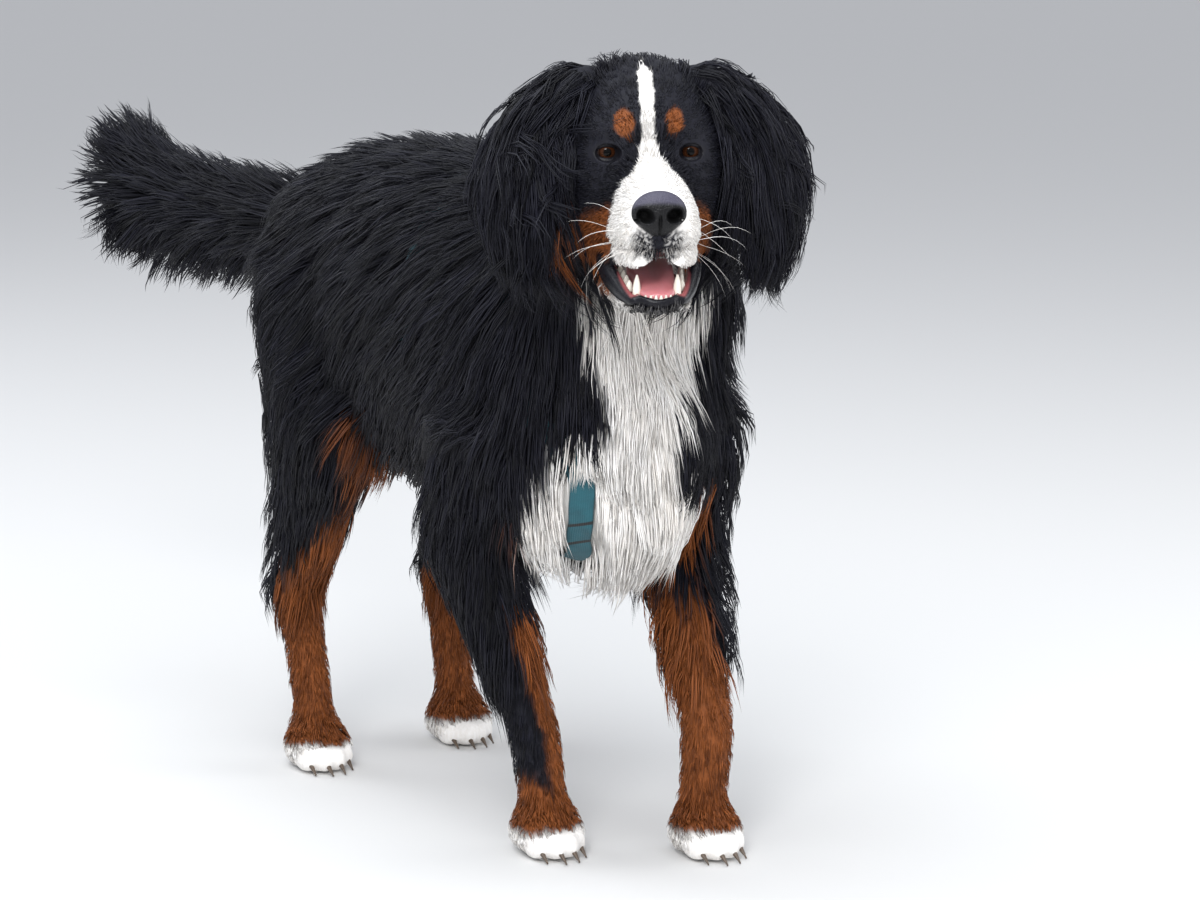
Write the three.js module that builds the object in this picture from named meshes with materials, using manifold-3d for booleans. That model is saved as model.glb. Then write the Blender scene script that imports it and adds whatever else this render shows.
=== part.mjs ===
// A Bernese mountain dog standing with its mouth open, head turned to its right and tail held level.
// Millimetres, +Z up. The dog faces -Y with its left side on +X, and its paws stand on z = 0.
// Its long coat is built as flat tapered locks, each rooted in the node that it grows from.

import * as THREE from "three";
import Module from "manifold-3d";

const wasm = await Module();
wasm.setup();

// Driving sizes of the dog
const GAP = 0.4;
const LOCK_GAP = 1.5;
const COAT_DEPTH = 17;
const EYE_CENTRE = [-61, -242, 731];
const HEAD_YAW = 25.5;
const EYE_SPACING = 77;
const EYE_RADIUS = 12;
const EYE_BACK = 2;
const NOSE_HALF_WIDTH = 24;
const NOSE_HALF_HEIGHT = 20;
const NOSE_AT = [0, -112, -38];
const NOSTRIL_OFFSET = 11;
const TAIL_LENGTH = 364;
const TAIL_ROOT_Y = 540;
const TAIL_SWING = 15;
const PAW_HALF_WIDTH = 35;
const PAW_HALF_LENGTH = 46;
const STRAP_WIDTH = 25;
const STRAP_THICKNESS = 2.6;
const FORE_STANCE = {
  left: { shoulder: [112, -42, 450], elbow: [112, -18, 318], carpus: [96, -104, 128], foot: [94, -100, 52] },
  right: { shoulder: [-108, -22, 450], elbow: [-102, 20, 318], carpus: [-50, -6, 128], foot: [-42, -14, 52] },
};
const HIND_STANCE = {
  left: { hip: [90, 425, 560], stifle: [106, 335, 372], hock: [98, 448, 192], foot: [98, 424, 52] },
  right: { hip: [-90, 418, 560], stifle: [-106, 322, 372], hock: [-94, 430, 192], foot: [-90, 404, 52] },
};

const SIDES = [["left", 1], ["right", -1]];
const X_AXIS = new THREE.Vector3(1, 0, 0);
const BACK = new THREE.Vector3(0, 1, 0);
const UP = new THREE.Vector3(0, 0, 1);
const DOWN = new THREE.Vector3(0, 0, -1);
const vector = (x, y, z) => new THREE.Vector3(x, y, z);
const radians = THREE.MathUtils.degToRad;
const { clamp, lerp, smoothstep } = THREE.MathUtils;

// Random numbers that are the same on every build
function seeded(seed) {
  let state = seed;
  return (low = 0, high = 1) => {
    state = (state * 1664525 + 1013904223) % 4294967296;
    return low + ((high - low) * state) / 4294967296;
  };
}

// Solids

function indexed(points, faces) {
  const geometry = new THREE.BufferGeometry().setFromPoints(points);
  geometry.setIndex(faces);
  return geometry;
}

function solidOf(geometry) {
  const mesh = new wasm.Mesh({
    numProp: 3,
    vertProperties: new Float32Array(geometry.attributes.position.array),
    triVerts: new Uint32Array(geometry.index.array),
  });
  return new wasm.Manifold(mesh);
}

function geometryOf(solid) {
  const mesh = solid.getMesh();
  const geometry = new THREE.BufferGeometry();
  geometry.setAttribute("position", new THREE.BufferAttribute(new Float32Array(mesh.vertProperties), 3));
  geometry.setIndex(new THREE.BufferAttribute(new Uint32Array(mesh.triVerts), 1));
  return geometry;
}

const join = (solids) => solids.reduce((whole, piece) => whole.add(piece));
const joined = (geometries) => join(geometries.map(solidOf));
const larger = (best, piece) => (piece.volume() > best.volume() ? piece : best);
const largest = (solid) => solid.decompose().reduce(larger);

// Forms: rows of parallel oval rings. Each key ring has its centre, its half width to the side, and how
// far it reaches along the rise direction and against it. Rise is side x along, so it is up for a form
// that runs back, and to the back for one that runs down.

// One value between keys, on a Catmull-Rom curve through them
function between(values, t) {
  const last = values.length - 1;
  const i = Math.min(Math.floor(t * last), last - 1);
  const f = t * last - i;
  const p0 = values[Math.max(i - 1, 0)];
  const p1 = values[i];
  const p2 = values[i + 1];
  const p3 = values[Math.min(i + 2, last)];
  const bend = 2 * p0 - 5 * p1 + 4 * p2 - p3;
  const twist = 3 * (p1 - p2) + p3 - p0;
  return p1 + 0.5 * f * (p2 - p0 + f * (bend + f * twist));
}

function form(keys, { rings = 14, sides = 20, along = BACK, side = X_AXIS, swell = 0 } = {}) {
  const column = (name, fallback) => keys.map((key) => key[name] ?? fallback);
  const centres = [0, 1, 2].map((axis) => keys.map((key) => key.at[axis]));
  const columns = {
    side: column("side"),
    rise: column("rise"),
    fall: column("fall"),
    power: column("power", 2),
    lean: column("lean", 0),
  };
  const rise = side.clone().cross(along).normalize();
  const sections = [];
  for (let i = 0; i < rings; i++) {
    const t = i / (rings - 1);
    const size = {};
    for (const [name, values] of Object.entries(columns)) size[name] = between(values, t);
    for (const reach of ["side", "rise", "fall"]) size[reach] = Math.max(size[reach] + swell, 1);
    const centre = vector(...centres.map((values) => between(values, t)));
    centre.addScaledVector(along, swell * (2 * t - 1));
    sections.push({ centre, size });
  }
  return { sections, sides, along, side, rise };
}

// The same form in another frame
function moved(shape, matrix) {
  const turned = (direction) => direction.clone().transformDirection(matrix);
  const sections = shape.sections.map(({ centre, size }) => ({
    centre: centre.clone().applyMatrix4(matrix),
    size,
  }));
  const [along, side, rise] = [shape.along, shape.side, shape.rise].map(turned);
  return { ...shape, sections, along, side, rise };
}

function ringPoint(shape, { centre, size }, angle) {
  const bow = (value) => Math.sign(value) * Math.abs(value) ** (2 / size.power);
  const across = bow(Math.cos(angle));
  const up = bow(Math.sin(angle));
  return centre
    .clone()
    .addScaledVector(shape.side, across * size.side * (1 - size.lean * up))
    .addScaledVector(shape.rise, up * (up > 0 ? size.rise : size.fall));
}

// The closed surface over a form's rings, with a fan at each end
function skinOf(shape) {
  const { sections, sides } = shape;
  const points = [];
  for (const section of sections) {
    for (let j = 0; j < sides; j++) points.push(ringPoint(shape, section, (2 * Math.PI * j) / sides));
  }
  const faces = [];
  const id = (i, j) => i * sides + (j % sides);
  for (let i = 0; i + 1 < sections.length; i++) {
    for (let j = 0; j < sides; j++) {
      faces.push(id(i, j), id(i + 1, j), id(i, j + 1));
      faces.push(id(i + 1, j), id(i + 1, j + 1), id(i, j + 1));
    }
  }
  const start = points.push(sections[0].centre.clone()) - 1;
  const end = points.push(sections.at(-1).centre.clone()) - 1;
  for (let j = 0; j < sides; j++) {
    faces.push(start, id(0, j), id(0, j + 1));
    faces.push(end, id(sections.length - 1, j + 1), id(sections.length - 1, j));
  }
  return indexed(points, faces);
}

// The point at a share of a form's length and an angle round it
function onForm(shape, t, angle) {
  const last = shape.sections.length - 1;
  const i = Math.min(Math.floor(t * last), last - 1);
  const near = ringPoint(shape, shape.sections[i], angle);
  return near.lerp(ringPoint(shape, shape.sections[i + 1], angle), t * last - i);
}

// How far a point stands over a form's surface, in its ring's plane. An endless form is taken to go on
// past its last rings, and past the ends of any other form the way to its end counts too.
function heightOver({ sections, along, side, rise, endless = false }, point) {
  const places = sections.map(({ centre }) => centre.dot(along));
  const place = clamp(point.dot(along), places[0], places.at(-1));
  const beyond = Math.abs(point.dot(along) - place);
  const i = Math.max(places.findLastIndex((value) => value <= place), 0);
  const next = Math.min(i + 1, sections.length - 1);
  const f = next === i ? 0 : (place - places[i]) / (places[next] - places[i]);
  const a = sections[i];
  const b = sections[next];
  const offset = point.clone().sub(a.centre.clone().lerp(b.centre, f));
  const x = offset.dot(side);
  const y = offset.dot(rise);
  const far = Math.max(Math.hypot(x, y), 0.001);
  const size = (name) => lerp(a.size[name], b.size[name], f);
  const power = size("power");
  const reachY = y > 0 ? size("rise") : size("fall");
  const share = (Math.abs(x) / size("side")) ** power + (Math.abs(y) / reachY) ** power;
  const height = far - far / share ** (1 / power);
  if (endless || beyond === 0) return height;
  return Math.hypot(beyond, Math.max(height, 0));
}

const heightOverAll = (shapes, point) => Math.min(...shapes.map((shape) => heightOver(shape, point)));

// The direction straight out of the nearest form
function outward(shapes, point) {
  const step = 2;
  const slope = (axis) => {
    const ahead = point.clone().addScaledVector(axis, step);
    const behind = point.clone().addScaledVector(axis, -step);
    return heightOverAll(shapes, ahead) - heightOverAll(shapes, behind);
  };
  return vector(slope(X_AXIS), slope(BACK), slope(UP)).normalize();
}

// Locks of hair

const LOCK_SHARES = [0, 0.3, 0.68, 1];
const LOCK_WIDTHS = [0.66, 1, 0.84];
const LOCK_SINK = 9;

// A flat lock, rooted under the surface, that follows its lie over the body and tapers to its tip.
// Each ring has two edges and a ridge, and the tip is one point.
function lock(shapes, root, style, swell = 0) {
  const normal = outward(shapes.slice(0, 1), root);
  const heading = style.lie.clone().addScaledVector(normal, -style.lie.dot(normal)).normalize();
  const centres = [root.clone().addScaledVector(normal, -LOCK_SINK)];
  let point = root.clone();
  for (let i = 1; i < LOCK_SHARES.length; i++) {
    const share = LOCK_SHARES[i];
    const step = (share - LOCK_SHARES[i - 1]) * style.length;
    heading.addScaledVector(DOWN, (style.droop ?? 0.1) * share).normalize();
    const sideways = heading.clone().cross(normal);
    const sway = (style.wave ?? 0) * Math.sin((style.phase ?? 0) + 4.4 * share);
    point = point.clone().addScaledVector(heading, step).addScaledVector(sideways, sway);
    const wanted = style.clear + (style.stand - style.clear) * share;
    const height = heightOverAll(shapes, point);
    const out = outward(shapes, point);
    const pull = height < wanted ? 1 : style.cling ?? 0.8;
    point.addScaledVector(out, (wanted - height) * pull);
    centres.push(point);
    heading.copy(point).sub(centres.at(-2)).normalize();
  }
  const points = [];
  const last = centres.length - 1;
  const out = normal.clone();
  for (let i = 0; i < last; i++) {
    const ahead = centres[i + 1].clone().sub(centres[Math.max(i - 1, 0)]).normalize();
    if (i > 0) out.add(outward(shapes, centres[i]));
    out.addScaledVector(ahead, -out.dot(ahead)).normalize();
    const across = ahead.clone().cross(out);
    const half = style.halfWidth * LOCK_WIDTHS[i] + swell;
    const thick = style.thick * (1 - 0.5 * LOCK_SHARES[i]) + 2 * swell;
    const base = centres[i].clone().addScaledVector(out, -0.35 * thick);
    if (i === 0) base.addScaledVector(ahead, -swell);
    points.push(base.clone().addScaledVector(across, -half));
    points.push(base.clone().addScaledVector(out, thick));
    points.push(base.clone().addScaledVector(across, half));
  }
  const tipAhead = centres[last].clone().sub(centres[last - 1]).normalize();
  points.push(centres[last].clone().addScaledVector(tipAhead, 2 * swell));
  const faces = [0, 2, 1];
  for (let i = 0; i + 1 < last; i++) {
    for (let j = 0; j < 3; j++) {
      const a = 3 * i + j;
      const b = 3 * i + ((j + 1) % 3);
      faces.push(a, b, a + 3, b, b + 3, a + 3);
    }
  }
  const tip = points.length - 1;
  for (let j = 0; j < 3; j++) faces.push(tip - 3 + j, tip - 3 + ((j + 1) % 3), tip);
  return indexed(points, faces);
}

// Rows of locks over a form. Each row has its share of the length and the angles that it spans, and
// rows are staggered. A root that another form covers is left out, and a lock that would run into a
// form to shun is made shorter, or else left out.
function coat(shape, { rows, others = [], shun = [], seed, swell, styleAt }) {
  const random = seeded(seed);
  const locks = [];
  rows.forEach(({ t, from, to, count }, row) => {
    const pitch = (to - from) / count;
    for (let k = 0; k < count; k++) {
      const angle = radians(from + pitch * (k + (row % 2 ? 0.72 : 0.28) + random(-0.12, 0.12)));
      const place = clamp(t + random(-0.012, 0.012), 0.01, 0.99);
      const root = onForm(shape, place, angle);
      const style = styleAt(root, angle, random);
      const covered = others.some((other) => heightOver(other, root) < 3);
      if (!style || covered) continue;
      const isFree = (share) => {
        const tip = root.clone().addScaledVector(style.lie, (share * style.length) / style.lie.length());
        return shun.every((other) => heightOver(other, tip) > 12);
      };
      const share = [1, 0.75, 0.5].find(isFree);
      if (!share) continue;
      const bed = [{ ...shape, endless: true }, ...others];
      locks.push(lock(bed, root, { ...style, length: share * style.length }, swell));
    }
  });
  return locks;
}

// An oval ball of rings
function ballForm([x, y, z], [halfX, halfY, halfZ], segments = 14) {
  const steps = Math.round(segments / 2) + 1;
  const keys = [];
  for (let i = 0; i < steps; i++) {
    const angle = Math.PI * (0.08 + (0.84 * i) / (steps - 1));
    const ring = Math.sin(angle);
    const reach = halfZ * ring;
    keys.push({ at: [x, y - halfY * Math.cos(angle), z], side: halfX * ring, rise: reach, fall: reach });
  }
  return form(keys, { rings: steps, sides: segments });
}

const ball = (at, sizes, segments) => solidOf(skinOf(ballForm(at, sizes, segments)));

// The half of space above the floor, as a large block
function aboveFloor() {
  const far = 1000;
  const corners = [0, far * 2].flatMap((z) =>
    [[-1, -1], [1, -1], [1, 1], [-1, 1]].map(([x, y]) => vector(x * far, y * far, z)),
  );
  const faces = [0, 2, 1, 0, 3, 2, 4, 5, 6, 4, 6, 7];
  for (let i = 0; i < 4; i++) {
    const next = (i + 1) % 4;
    faces.push(i, next, i + 4, next, next + 4, i + 4);
  }
  return solidOf(indexed(corners, faces));
}

// A ring of a form that runs back, from its top, bottom and half width
function level(y, top, bottom, side, extra = {}) {
  const middle = (top + bottom) / 2;
  return { at: [0, y, middle], side, rise: top - middle, fall: middle - bottom, ...extra };
}

// Torso

function torsoForm(swell = 0) {
  const keys = [
    level(-162, 486, 380, 50),
    level(-140, 530, 332, 92),
    level(-85, 588, 296, 134, { power: 2.2 }),
    level(-10, 668, 300, 150, { power: 2.2 }),
    level(80, 708, 318, 150, { power: 2.2 }),
    level(190, 710, 330, 148, { power: 2.2 }),
    level(300, 704, 352, 142, { power: 2.2 }),
    level(385, 692, 392, 138, { power: 2.2 }),
    level(450, 676, 426, 130, { power: 2.2 }),
    level(512, 654, 458, 106, { power: 2.1 }),
    level(556, 630, 496, 68),
  ];
  return form(keys, { rings: 14, sides: 18, swell });
}

// Neck, from the head down

function neckForm(swell = 0) {
  const keys = [
    { at: [-6, -108, 748], side: 70, rise: 56, fall: 56 },
    { at: [-6, -98, 706], side: 88, rise: 82, fall: 76 },
    { at: [-4, -74, 642], side: 106, rise: 96, fall: 96 },
    { at: [0, -40, 572], side: 120, rise: 98, fall: 112 },
    { at: [0, -4, 500], side: 124, rise: 92, fall: 122 },
  ];
  const along = vector(0, 0.42, -0.9).normalize();
  return form(keys, { rings: 7, sides: 16, along, swell });
}

// Head, in its own frame: x to its left, y back from the eyes, z up from the eyes

const headPose = new THREE.Matrix4().makeRotationZ(-radians(HEAD_YAW)).setPosition(...EYE_CENTRE);
const inBodyFrame = (geometry) => geometry.clone().applyMatrix4(headPose);

function skullForm(swell = 0) {
  const keys = [
    level(-24, 14, -78, 40),
    level(-12, 40, -96, 56),
    level(8, 66, -112, 72),
    level(40, 82, -126, 82),
    level(80, 84, -122, 86),
    level(118, 74, -104, 80),
    level(146, 52, -70, 60),
  ];
  return form(keys, { rings: 10, sides: 18, swell });
}

function muzzleForm(swell = 0) {
  const keys = [
    level(-118, -38, -70, 14),
    level(-112, -28, -80, 27),
    level(-98, -20, -90, 37, { lean: 0.12, power: 2.4 }),
    level(-72, -12, -97, 42, { lean: 0.22, power: 2.6 }),
    level(-40, -4, -100, 43, { lean: 0.28, power: 2.6 }),
    level(-14, 6, -102, 47, { lean: 0.28, power: 2.4 }),
    level(20, 10, -104, 54, { lean: 0.2 }),
  ];
  return form(keys, { rings: 10, sides: 18, swell });
}

function jawForm(swell = 0) {
  const keys = [
    level(-95, -122, -134, 12),
    level(-86, -117, -139, 23),
    level(-66, -114, -143, 28),
    level(-36, -110, -145, 31),
    level(0, -104, -145, 34),
    level(30, -96, -145, 38),
  ];
  return form(keys, { rings: 7, sides: 16, swell });
}

const eyeAt = (sign) => [(sign * EYE_SPACING) / 2, EYE_BACK, 0];
const faceSolid = (swell) => joined([skinOf(skullForm(swell)), skinOf(muzzleForm(swell))]);

function noseSolid(swell = 0) {
  return ball(NOSE_AT, [NOSE_HALF_WIDTH + swell, 14 + swell, NOSE_HALF_HEIGHT + swell], 12);
}

function noseNode() {
  const [, y, z] = NOSE_AT;
  const nostrils = [-1, 1].map((sign) => ball([sign * NOSTRIL_OFFSET, y - 12, z - 1], [5, 8, 5.5], 7));
  return largest(noseSolid().subtract(join(nostrils)));
}

function mouthHollow() {
  const keys = [
    level(-104, -76, -140, 17),
    level(-84, -72, -140, 28),
    level(-50, -72, -140, 32),
    level(-10, -74, -130, 31),
    level(24, -80, -118, 26),
  ];
  return solidOf(skinOf(form(keys, { rings: 6, sides: 12 })));
}

// One eyelid: a curved roll over or under the eyeball
function lid(sign, above) {
  const [x, y, z] = eyeAt(sign);
  const steps = 5;
  const keys = [];
  for (let i = 0; i < steps; i++) {
    const turn = radians(-68 + (136 * i) / (steps - 1));
    const lift = above * (Math.cos(turn) * 9 - 1);
    const thick = 2.2 + 2.2 * Math.cos(turn);
    const at = [x + Math.sin(turn) * 13, y - 9 * Math.cos(turn) - 1, z + lift];
    keys.push({ at, side: thick, rise: thick, fall: thick });
  }
  return skinOf(form(keys, { rings: 6, sides: 5, along: X_AXIS, side: BACK }));
}

// The rolled edge of a lip, from its middle at the front back to the corner of the mouth
function lip(sign, heights, thick) {
  const [front, cheek, corner] = heights;
  const keys = [
    { at: [sign * 6, -108, front], side: thick, rise: thick, fall: thick },
    { at: [sign * 27, -94, (front + cheek) / 2], side: thick, rise: thick, fall: thick },
    { at: [sign * 37, -60, cheek], side: thick, rise: thick * 1.3, fall: thick * 1.3 },
    { at: [sign * 39, -28, cheek], side: thick, rise: thick * 1.2, fall: thick * 1.2 },
    { at: [sign * 38, -4, corner], side: thick * 0.7, rise: thick * 0.7, fall: thick * 0.7 },
  ];
  return skinOf(form(keys, { rings: 7, sides: 5 }));
}

// Short ruff hair behind the cheeks, and the tuft on the crown
function headLocks(swell = 0) {
  const shape = skullForm(-4);
  const cheeks = coat(shape, {
    seed: 11,
    swell,
    rows: [
      { t: 0.42, from: -64, to: -14, count: 2 },
      { t: 0.42, from: 194, to: 244, count: 2 },
      { t: 0.66, from: -70, to: -20, count: 1 },
      { t: 0.66, from: 200, to: 250, count: 1 },
    ],
    styleAt: (root, angle, random) => ({
      lie: vector(0.25 * Math.sign(root.x), 0.45, -0.9),
      length: random(62, 76),
      halfWidth: random(15, 18),
      thick: 10,
      stand: random(8, 12),
      clear: 2,
      wave: random(-3, 3),
    }),
  });
  const crown = coat(shape, {
    seed: 12,
    swell,
    rows: [{ t: 0.34, from: 106, to: 124, count: 2 }],
    styleAt: (root, angle, random) => ({
      lie: vector(-0.6, 0.2, 0.5),
      length: random(30, 38),
      halfWidth: 8,
      thick: 8,
      stand: random(44, 52),
      clear: 14,
      droop: 0,
      cling: 1,
    }),
  });
  return [...cheeks, ...crown];
}

function headNode() {
  const sockets = [-1, 1].map((sign) => ball(eyeAt(sign), Array(3).fill(EYE_RADIUS + GAP), 10));
  const orbits = [-1, 1].map((sign) => {
    const [x, y, z] = eyeAt(sign);
    return ball([x + sign * 2, y - 22, z - 1], [13, 14, 8.5], 8);
  });
  const rolls = [-1, 1].flatMap((sign) => [lid(sign, 1), lid(sign, -1), lip(sign, [-79, -91, -93], 4)]);
  const carved = faceSolid(0).subtract(mouthHollow()).subtract(join(orbits));
  const dressed = join([carved, joined([...rolls, ...headLocks()])]);
  const jaw = solidOf(skinOf(jawForm(GAP)));
  return largest(dressed.subtract(join([...sockets, noseSolid(GAP)])).subtract(jaw.subtract(faceSolid(0))));
}

// The hollow of the lower jaw that holds the tongue
function troughForm(swell = 0) {
  const keys = [
    level(-84, -104, -122, 12),
    level(-68, -100, -124, 19),
    level(-30, -96, -124, 24),
    level(24, -92, -120, 26),
  ];
  return form(keys, { rings: 6, sides: 12, swell });
}

function tooth([x, y, z], height, radius) {
  const ring = (share, size) => {
    const reach = size * radius;
    return { at: [x, y - 0.1 * height * share, z + height * share], side: reach, rise: reach, fall: reach };
  };
  const keys = [ring(1, 0.25), ring(0.5, 0.8), ring(-0.4, 1)];
  return skinOf(form(keys, { rings: 3, sides: 4, along: DOWN }));
}

function jawNode() {
  const canines = [-1, 1].map((sign) => tooth([sign * 17, -84, -116], 13, 3.4));
  const incisors = [-2.5, -1.5, -0.5, 0.5, 1.5, 2.5].map((step) =>
    tooth([step * 4.2, -90 + Math.abs(step) * 1.1, -118], 6, 2),
  );
  const body = solidOf(skinOf(jawForm())).subtract(solidOf(skinOf(troughForm())));
  return largest(join([body, joined([...canines, ...incisors])]).subtract(faceSolid(GAP)));
}

function tongueNode() {
  const keys = [
    level(-88, -109, -113, 6),
    level(-80, -105, -116, 15),
    level(-60, -103, -118, 18),
    level(-30, -101, -118, 19),
    level(10, -98, -114, 20),
  ];
  const body = solidOf(skinOf(form(keys, { rings: 8, sides: 12 })));
  const jaw = solidOf(skinOf(jawForm(GAP))).subtract(solidOf(skinOf(troughForm(-GAP))));
  return largest(body.subtract(jaw).subtract(faceSolid(GAP).subtract(mouthHollow())));
}

// Ears: a hanging leather with a hollow inner face, and long wavy locks over it and past its edge

function earForm(sign, swell = 0) {
  const out = (x, y, z) => [sign * x, y, z];
  const keys = [
    { at: out(76, 46, 74), side: 13, rise: 6, fall: 6 },
    { at: out(87, 45, 63), side: 26, rise: 10, fall: 10 },
    { at: out(103, 42, 30), side: 37, rise: 11, fall: 11 },
    { at: out(112, 37, -12), side: 37, rise: 11, fall: 11 },
    { at: out(112, 31, -52), side: 27, rise: 9, fall: 9 },
    { at: out(110, 28, -80), side: 12, rise: 6, fall: 6 },
  ];
  const side = vector(sign * 0.8, 0.6, 0);
  return form(keys, { rings: 9, sides: 14, along: DOWN, side, swell });
}

const earCup = (sign) => ball([sign * 96, 44, -8], [9, 20, 42], 10);

function earLocks(sign, swell = 0) {
  const shape = earForm(sign);
  const front = sign > 0 ? -90 : 90;
  const face = { from: front - 62, to: front + 62 };
  return coat(shape, {
    seed: sign > 0 ? 21 : 22,
    swell,
    others: [skullForm(), muzzleForm()],
    rows: [
      { t: 0.22, ...face, count: 2 },
      { t: 0.5, ...face, count: 3 },
      { t: 0.78, ...face, count: 3 },
    ],
    styleAt: (root, angle, random) => {
      const edge = smoothstep(Math.abs(root.x), 96, 142);
      return {
        lie: vector(sign * lerp(-0.12, 0.55, edge), 0.12, -1),
        length: random(84, 104),
        halfWidth: random(15, 18),
        thick: 9,
        stand: lerp(8, 22, edge),
        clear: 2,
        wave: random(-7, 7),
        phase: random(0, 3),
        cling: 0.25,
      };
    },
  });
}

function earNode(sign, head) {
  const leather = solidOf(skinOf(earForm(sign))).subtract(earCup(sign));
  const dressed = join([leather, joined(earLocks(sign))]);
  return largest(dressed.subtract(join([faceSolid(GAP), joined(headLocks(LOCK_GAP)), head])));
}

// Legs: the ring sizes are shared, and the joints give each leg its stance

function mixed(a, b, t) {
  return a.map((value, axis) => lerp(value, b[axis], t));
}

function forelegForm({ shoulder, elbow, carpus, foot }, swell = 0) {
  const keys = [
    { at: shoulder, side: 42, rise: 56, fall: 62 },
    { at: mixed(shoulder, elbow, 0.55), side: 45, rise: 52, fall: 54 },
    { at: elbow, side: 42, rise: 42, fall: 42 },
    { at: mixed(elbow, carpus, 0.4), side: 35, rise: 32, fall: 35 },
    { at: mixed(elbow, carpus, 0.78), side: 29, rise: 27, fall: 29 },
    { at: carpus, side: 27, rise: 25, fall: 27 },
    { at: foot, side: 24, rise: 24, fall: 26 },
    { at: [foot[0], foot[1] - 4, 26], side: 22, rise: 22, fall: 24 },
  ];
  return form(keys, { rings: 10, sides: 12, along: DOWN, swell });
}

function forelegLocks(stance, swell = 0) {
  const shape = forelegForm(stance);
  return coat(shape, {
    seed: 31,
    swell,
    rows: [
      { t: 0.32, from: 58, to: 132, count: 2 },
      { t: 0.46, from: 60, to: 126, count: 2 },
      { t: 0.6, from: 66, to: 116, count: 2 },
    ],
    styleAt: (root, angle, random) => ({
      lie: vector(0, 0.55, -1),
      length: random(74, 92),
      halfWidth: random(14, 17),
      thick: 9,
      stand: random(22, 30),
      clear: 2,
      wave: random(-3, 3),
      cling: 0.3,
    }),
  });
}

function hindlegForm({ hip, stifle, hock, foot }, swell = 0) {
  const keys = [
    { at: hip, side: 44, rise: 68, fall: 76 },
    { at: mixed(hip, stifle, 0.5), side: 49, rise: 86, fall: 80 },
    { at: stifle, side: 45, rise: 108, fall: 54 },
    { at: mixed(stifle, hock, 0.45), side: 35, rise: 64, fall: 44 },
    { at: mixed(stifle, hock, 0.85), side: 27, rise: 36, fall: 34 },
    { at: hock, side: 25, rise: 29, fall: 28 },
    { at: mixed(hock, foot, 0.5), side: 23, rise: 24, fall: 24 },
    { at: foot, side: 23, rise: 23, fall: 25 },
    { at: [foot[0], foot[1] - 6, 26], side: 22, rise: 22, fall: 24 },
  ];
  return form(keys, { rings: 12, sides: 12, along: DOWN, swell });
}

function hindlegLocks(stance, swell = 0) {
  const shape = hindlegForm(stance);
  const outer = stance.hip[0] > 0 ? 0 : 180;
  const thigh = { from: outer - 62, to: outer + 48 };
  return coat(shape, {
    seed: 41,
    swell,
    rows: [
      { t: 0.08, ...thigh, count: 2 },
      { t: 0.16, from: 48, to: 132, count: 2 },
      { t: 0.24, ...thigh, count: 2 },
      { t: 0.32, from: 44, to: 136, count: 3 },
      { t: 0.45, from: 50, to: 130, count: 3 },
    ],
    styleAt: (root, angle, random) => {
      const behind = smoothstep(Math.sin(angle), 0.2, 0.9);
      return {
        lie: vector(0, 0.5, -1),
        length: random(96, 118),
        halfWidth: random(20, 24),
        thick: 11,
        stand: lerp(12, random(28, 38), behind),
        clear: 3,
        wave: random(-4, 4),
        cling: lerp(0.8, 0.4, behind),
      };
    },
  });
}

// Paws: a pad body with four toes and their claws, flat on the floor

function pawForm([x, y], swell = 0) {
  const keys = [
    { at: [x, y - PAW_HALF_LENGTH + 14, 18], side: 24, rise: 14, fall: 22 },
    { at: [x, y - 20, 24], side: PAW_HALF_WIDTH - 2, rise: 24, fall: 34 },
    { at: [x, y + 8, 26], side: 31, rise: 26, fall: 34 },
    { at: [x, y + 28, 22], side: 22, rise: 14, fall: 24 },
  ];
  return form(keys, { rings: 5, sides: 10, swell });
}

function pawNode(foot) {
  const [x, y] = foot;
  const toes = [-1.5, -0.5, 0.5, 1.5].flatMap((step) => {
    const inner = Math.abs(step) < 1;
    const front = y - PAW_HALF_LENGTH + (inner ? 12 : 24);
    const toe = skinOf(ballForm([x + step * 15, front, 14], [10.5, 18, 16], 6));
    const claw = [
      { at: [x + step * 15, front - 21, 6], side: 1, rise: 1, fall: 1 },
      { at: [x + step * 15, front - 12, 11], side: 3, rise: 3.4, fall: 3.4 },
    ];
    return [toe, skinOf(form(claw, { rings: 2, sides: 3 }))];
  });
  return largest(joined([skinOf(pawForm(foot)), ...toes]).intersect(aboveFloor()));
}

// Tail

function tailForm(swell = 0) {
  const swing = radians(TAIL_SWING);
  const along = (share, z) => {
    const reach = TAIL_LENGTH * share;
    return [-Math.sin(swing) * reach, TAIL_ROOT_Y + Math.cos(swing) * reach, z];
  };
  const keys = [
    { at: along(-0.02, 574), side: 34, rise: 38, fall: 40 },
    { at: along(0.14, 580), side: 36, rise: 38, fall: 44 },
    { at: along(0.36, 583), side: 36, rise: 37, fall: 46 },
    { at: along(0.6, 591), side: 35, rise: 37, fall: 46 },
    { at: along(0.8, 604), side: 33, rise: 37, fall: 44 },
    { at: along(0.94, 622), side: 22, rise: 27, fall: 30 },
  ];
  return form(keys, { rings: 9, sides: 14, swell });
}

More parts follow.
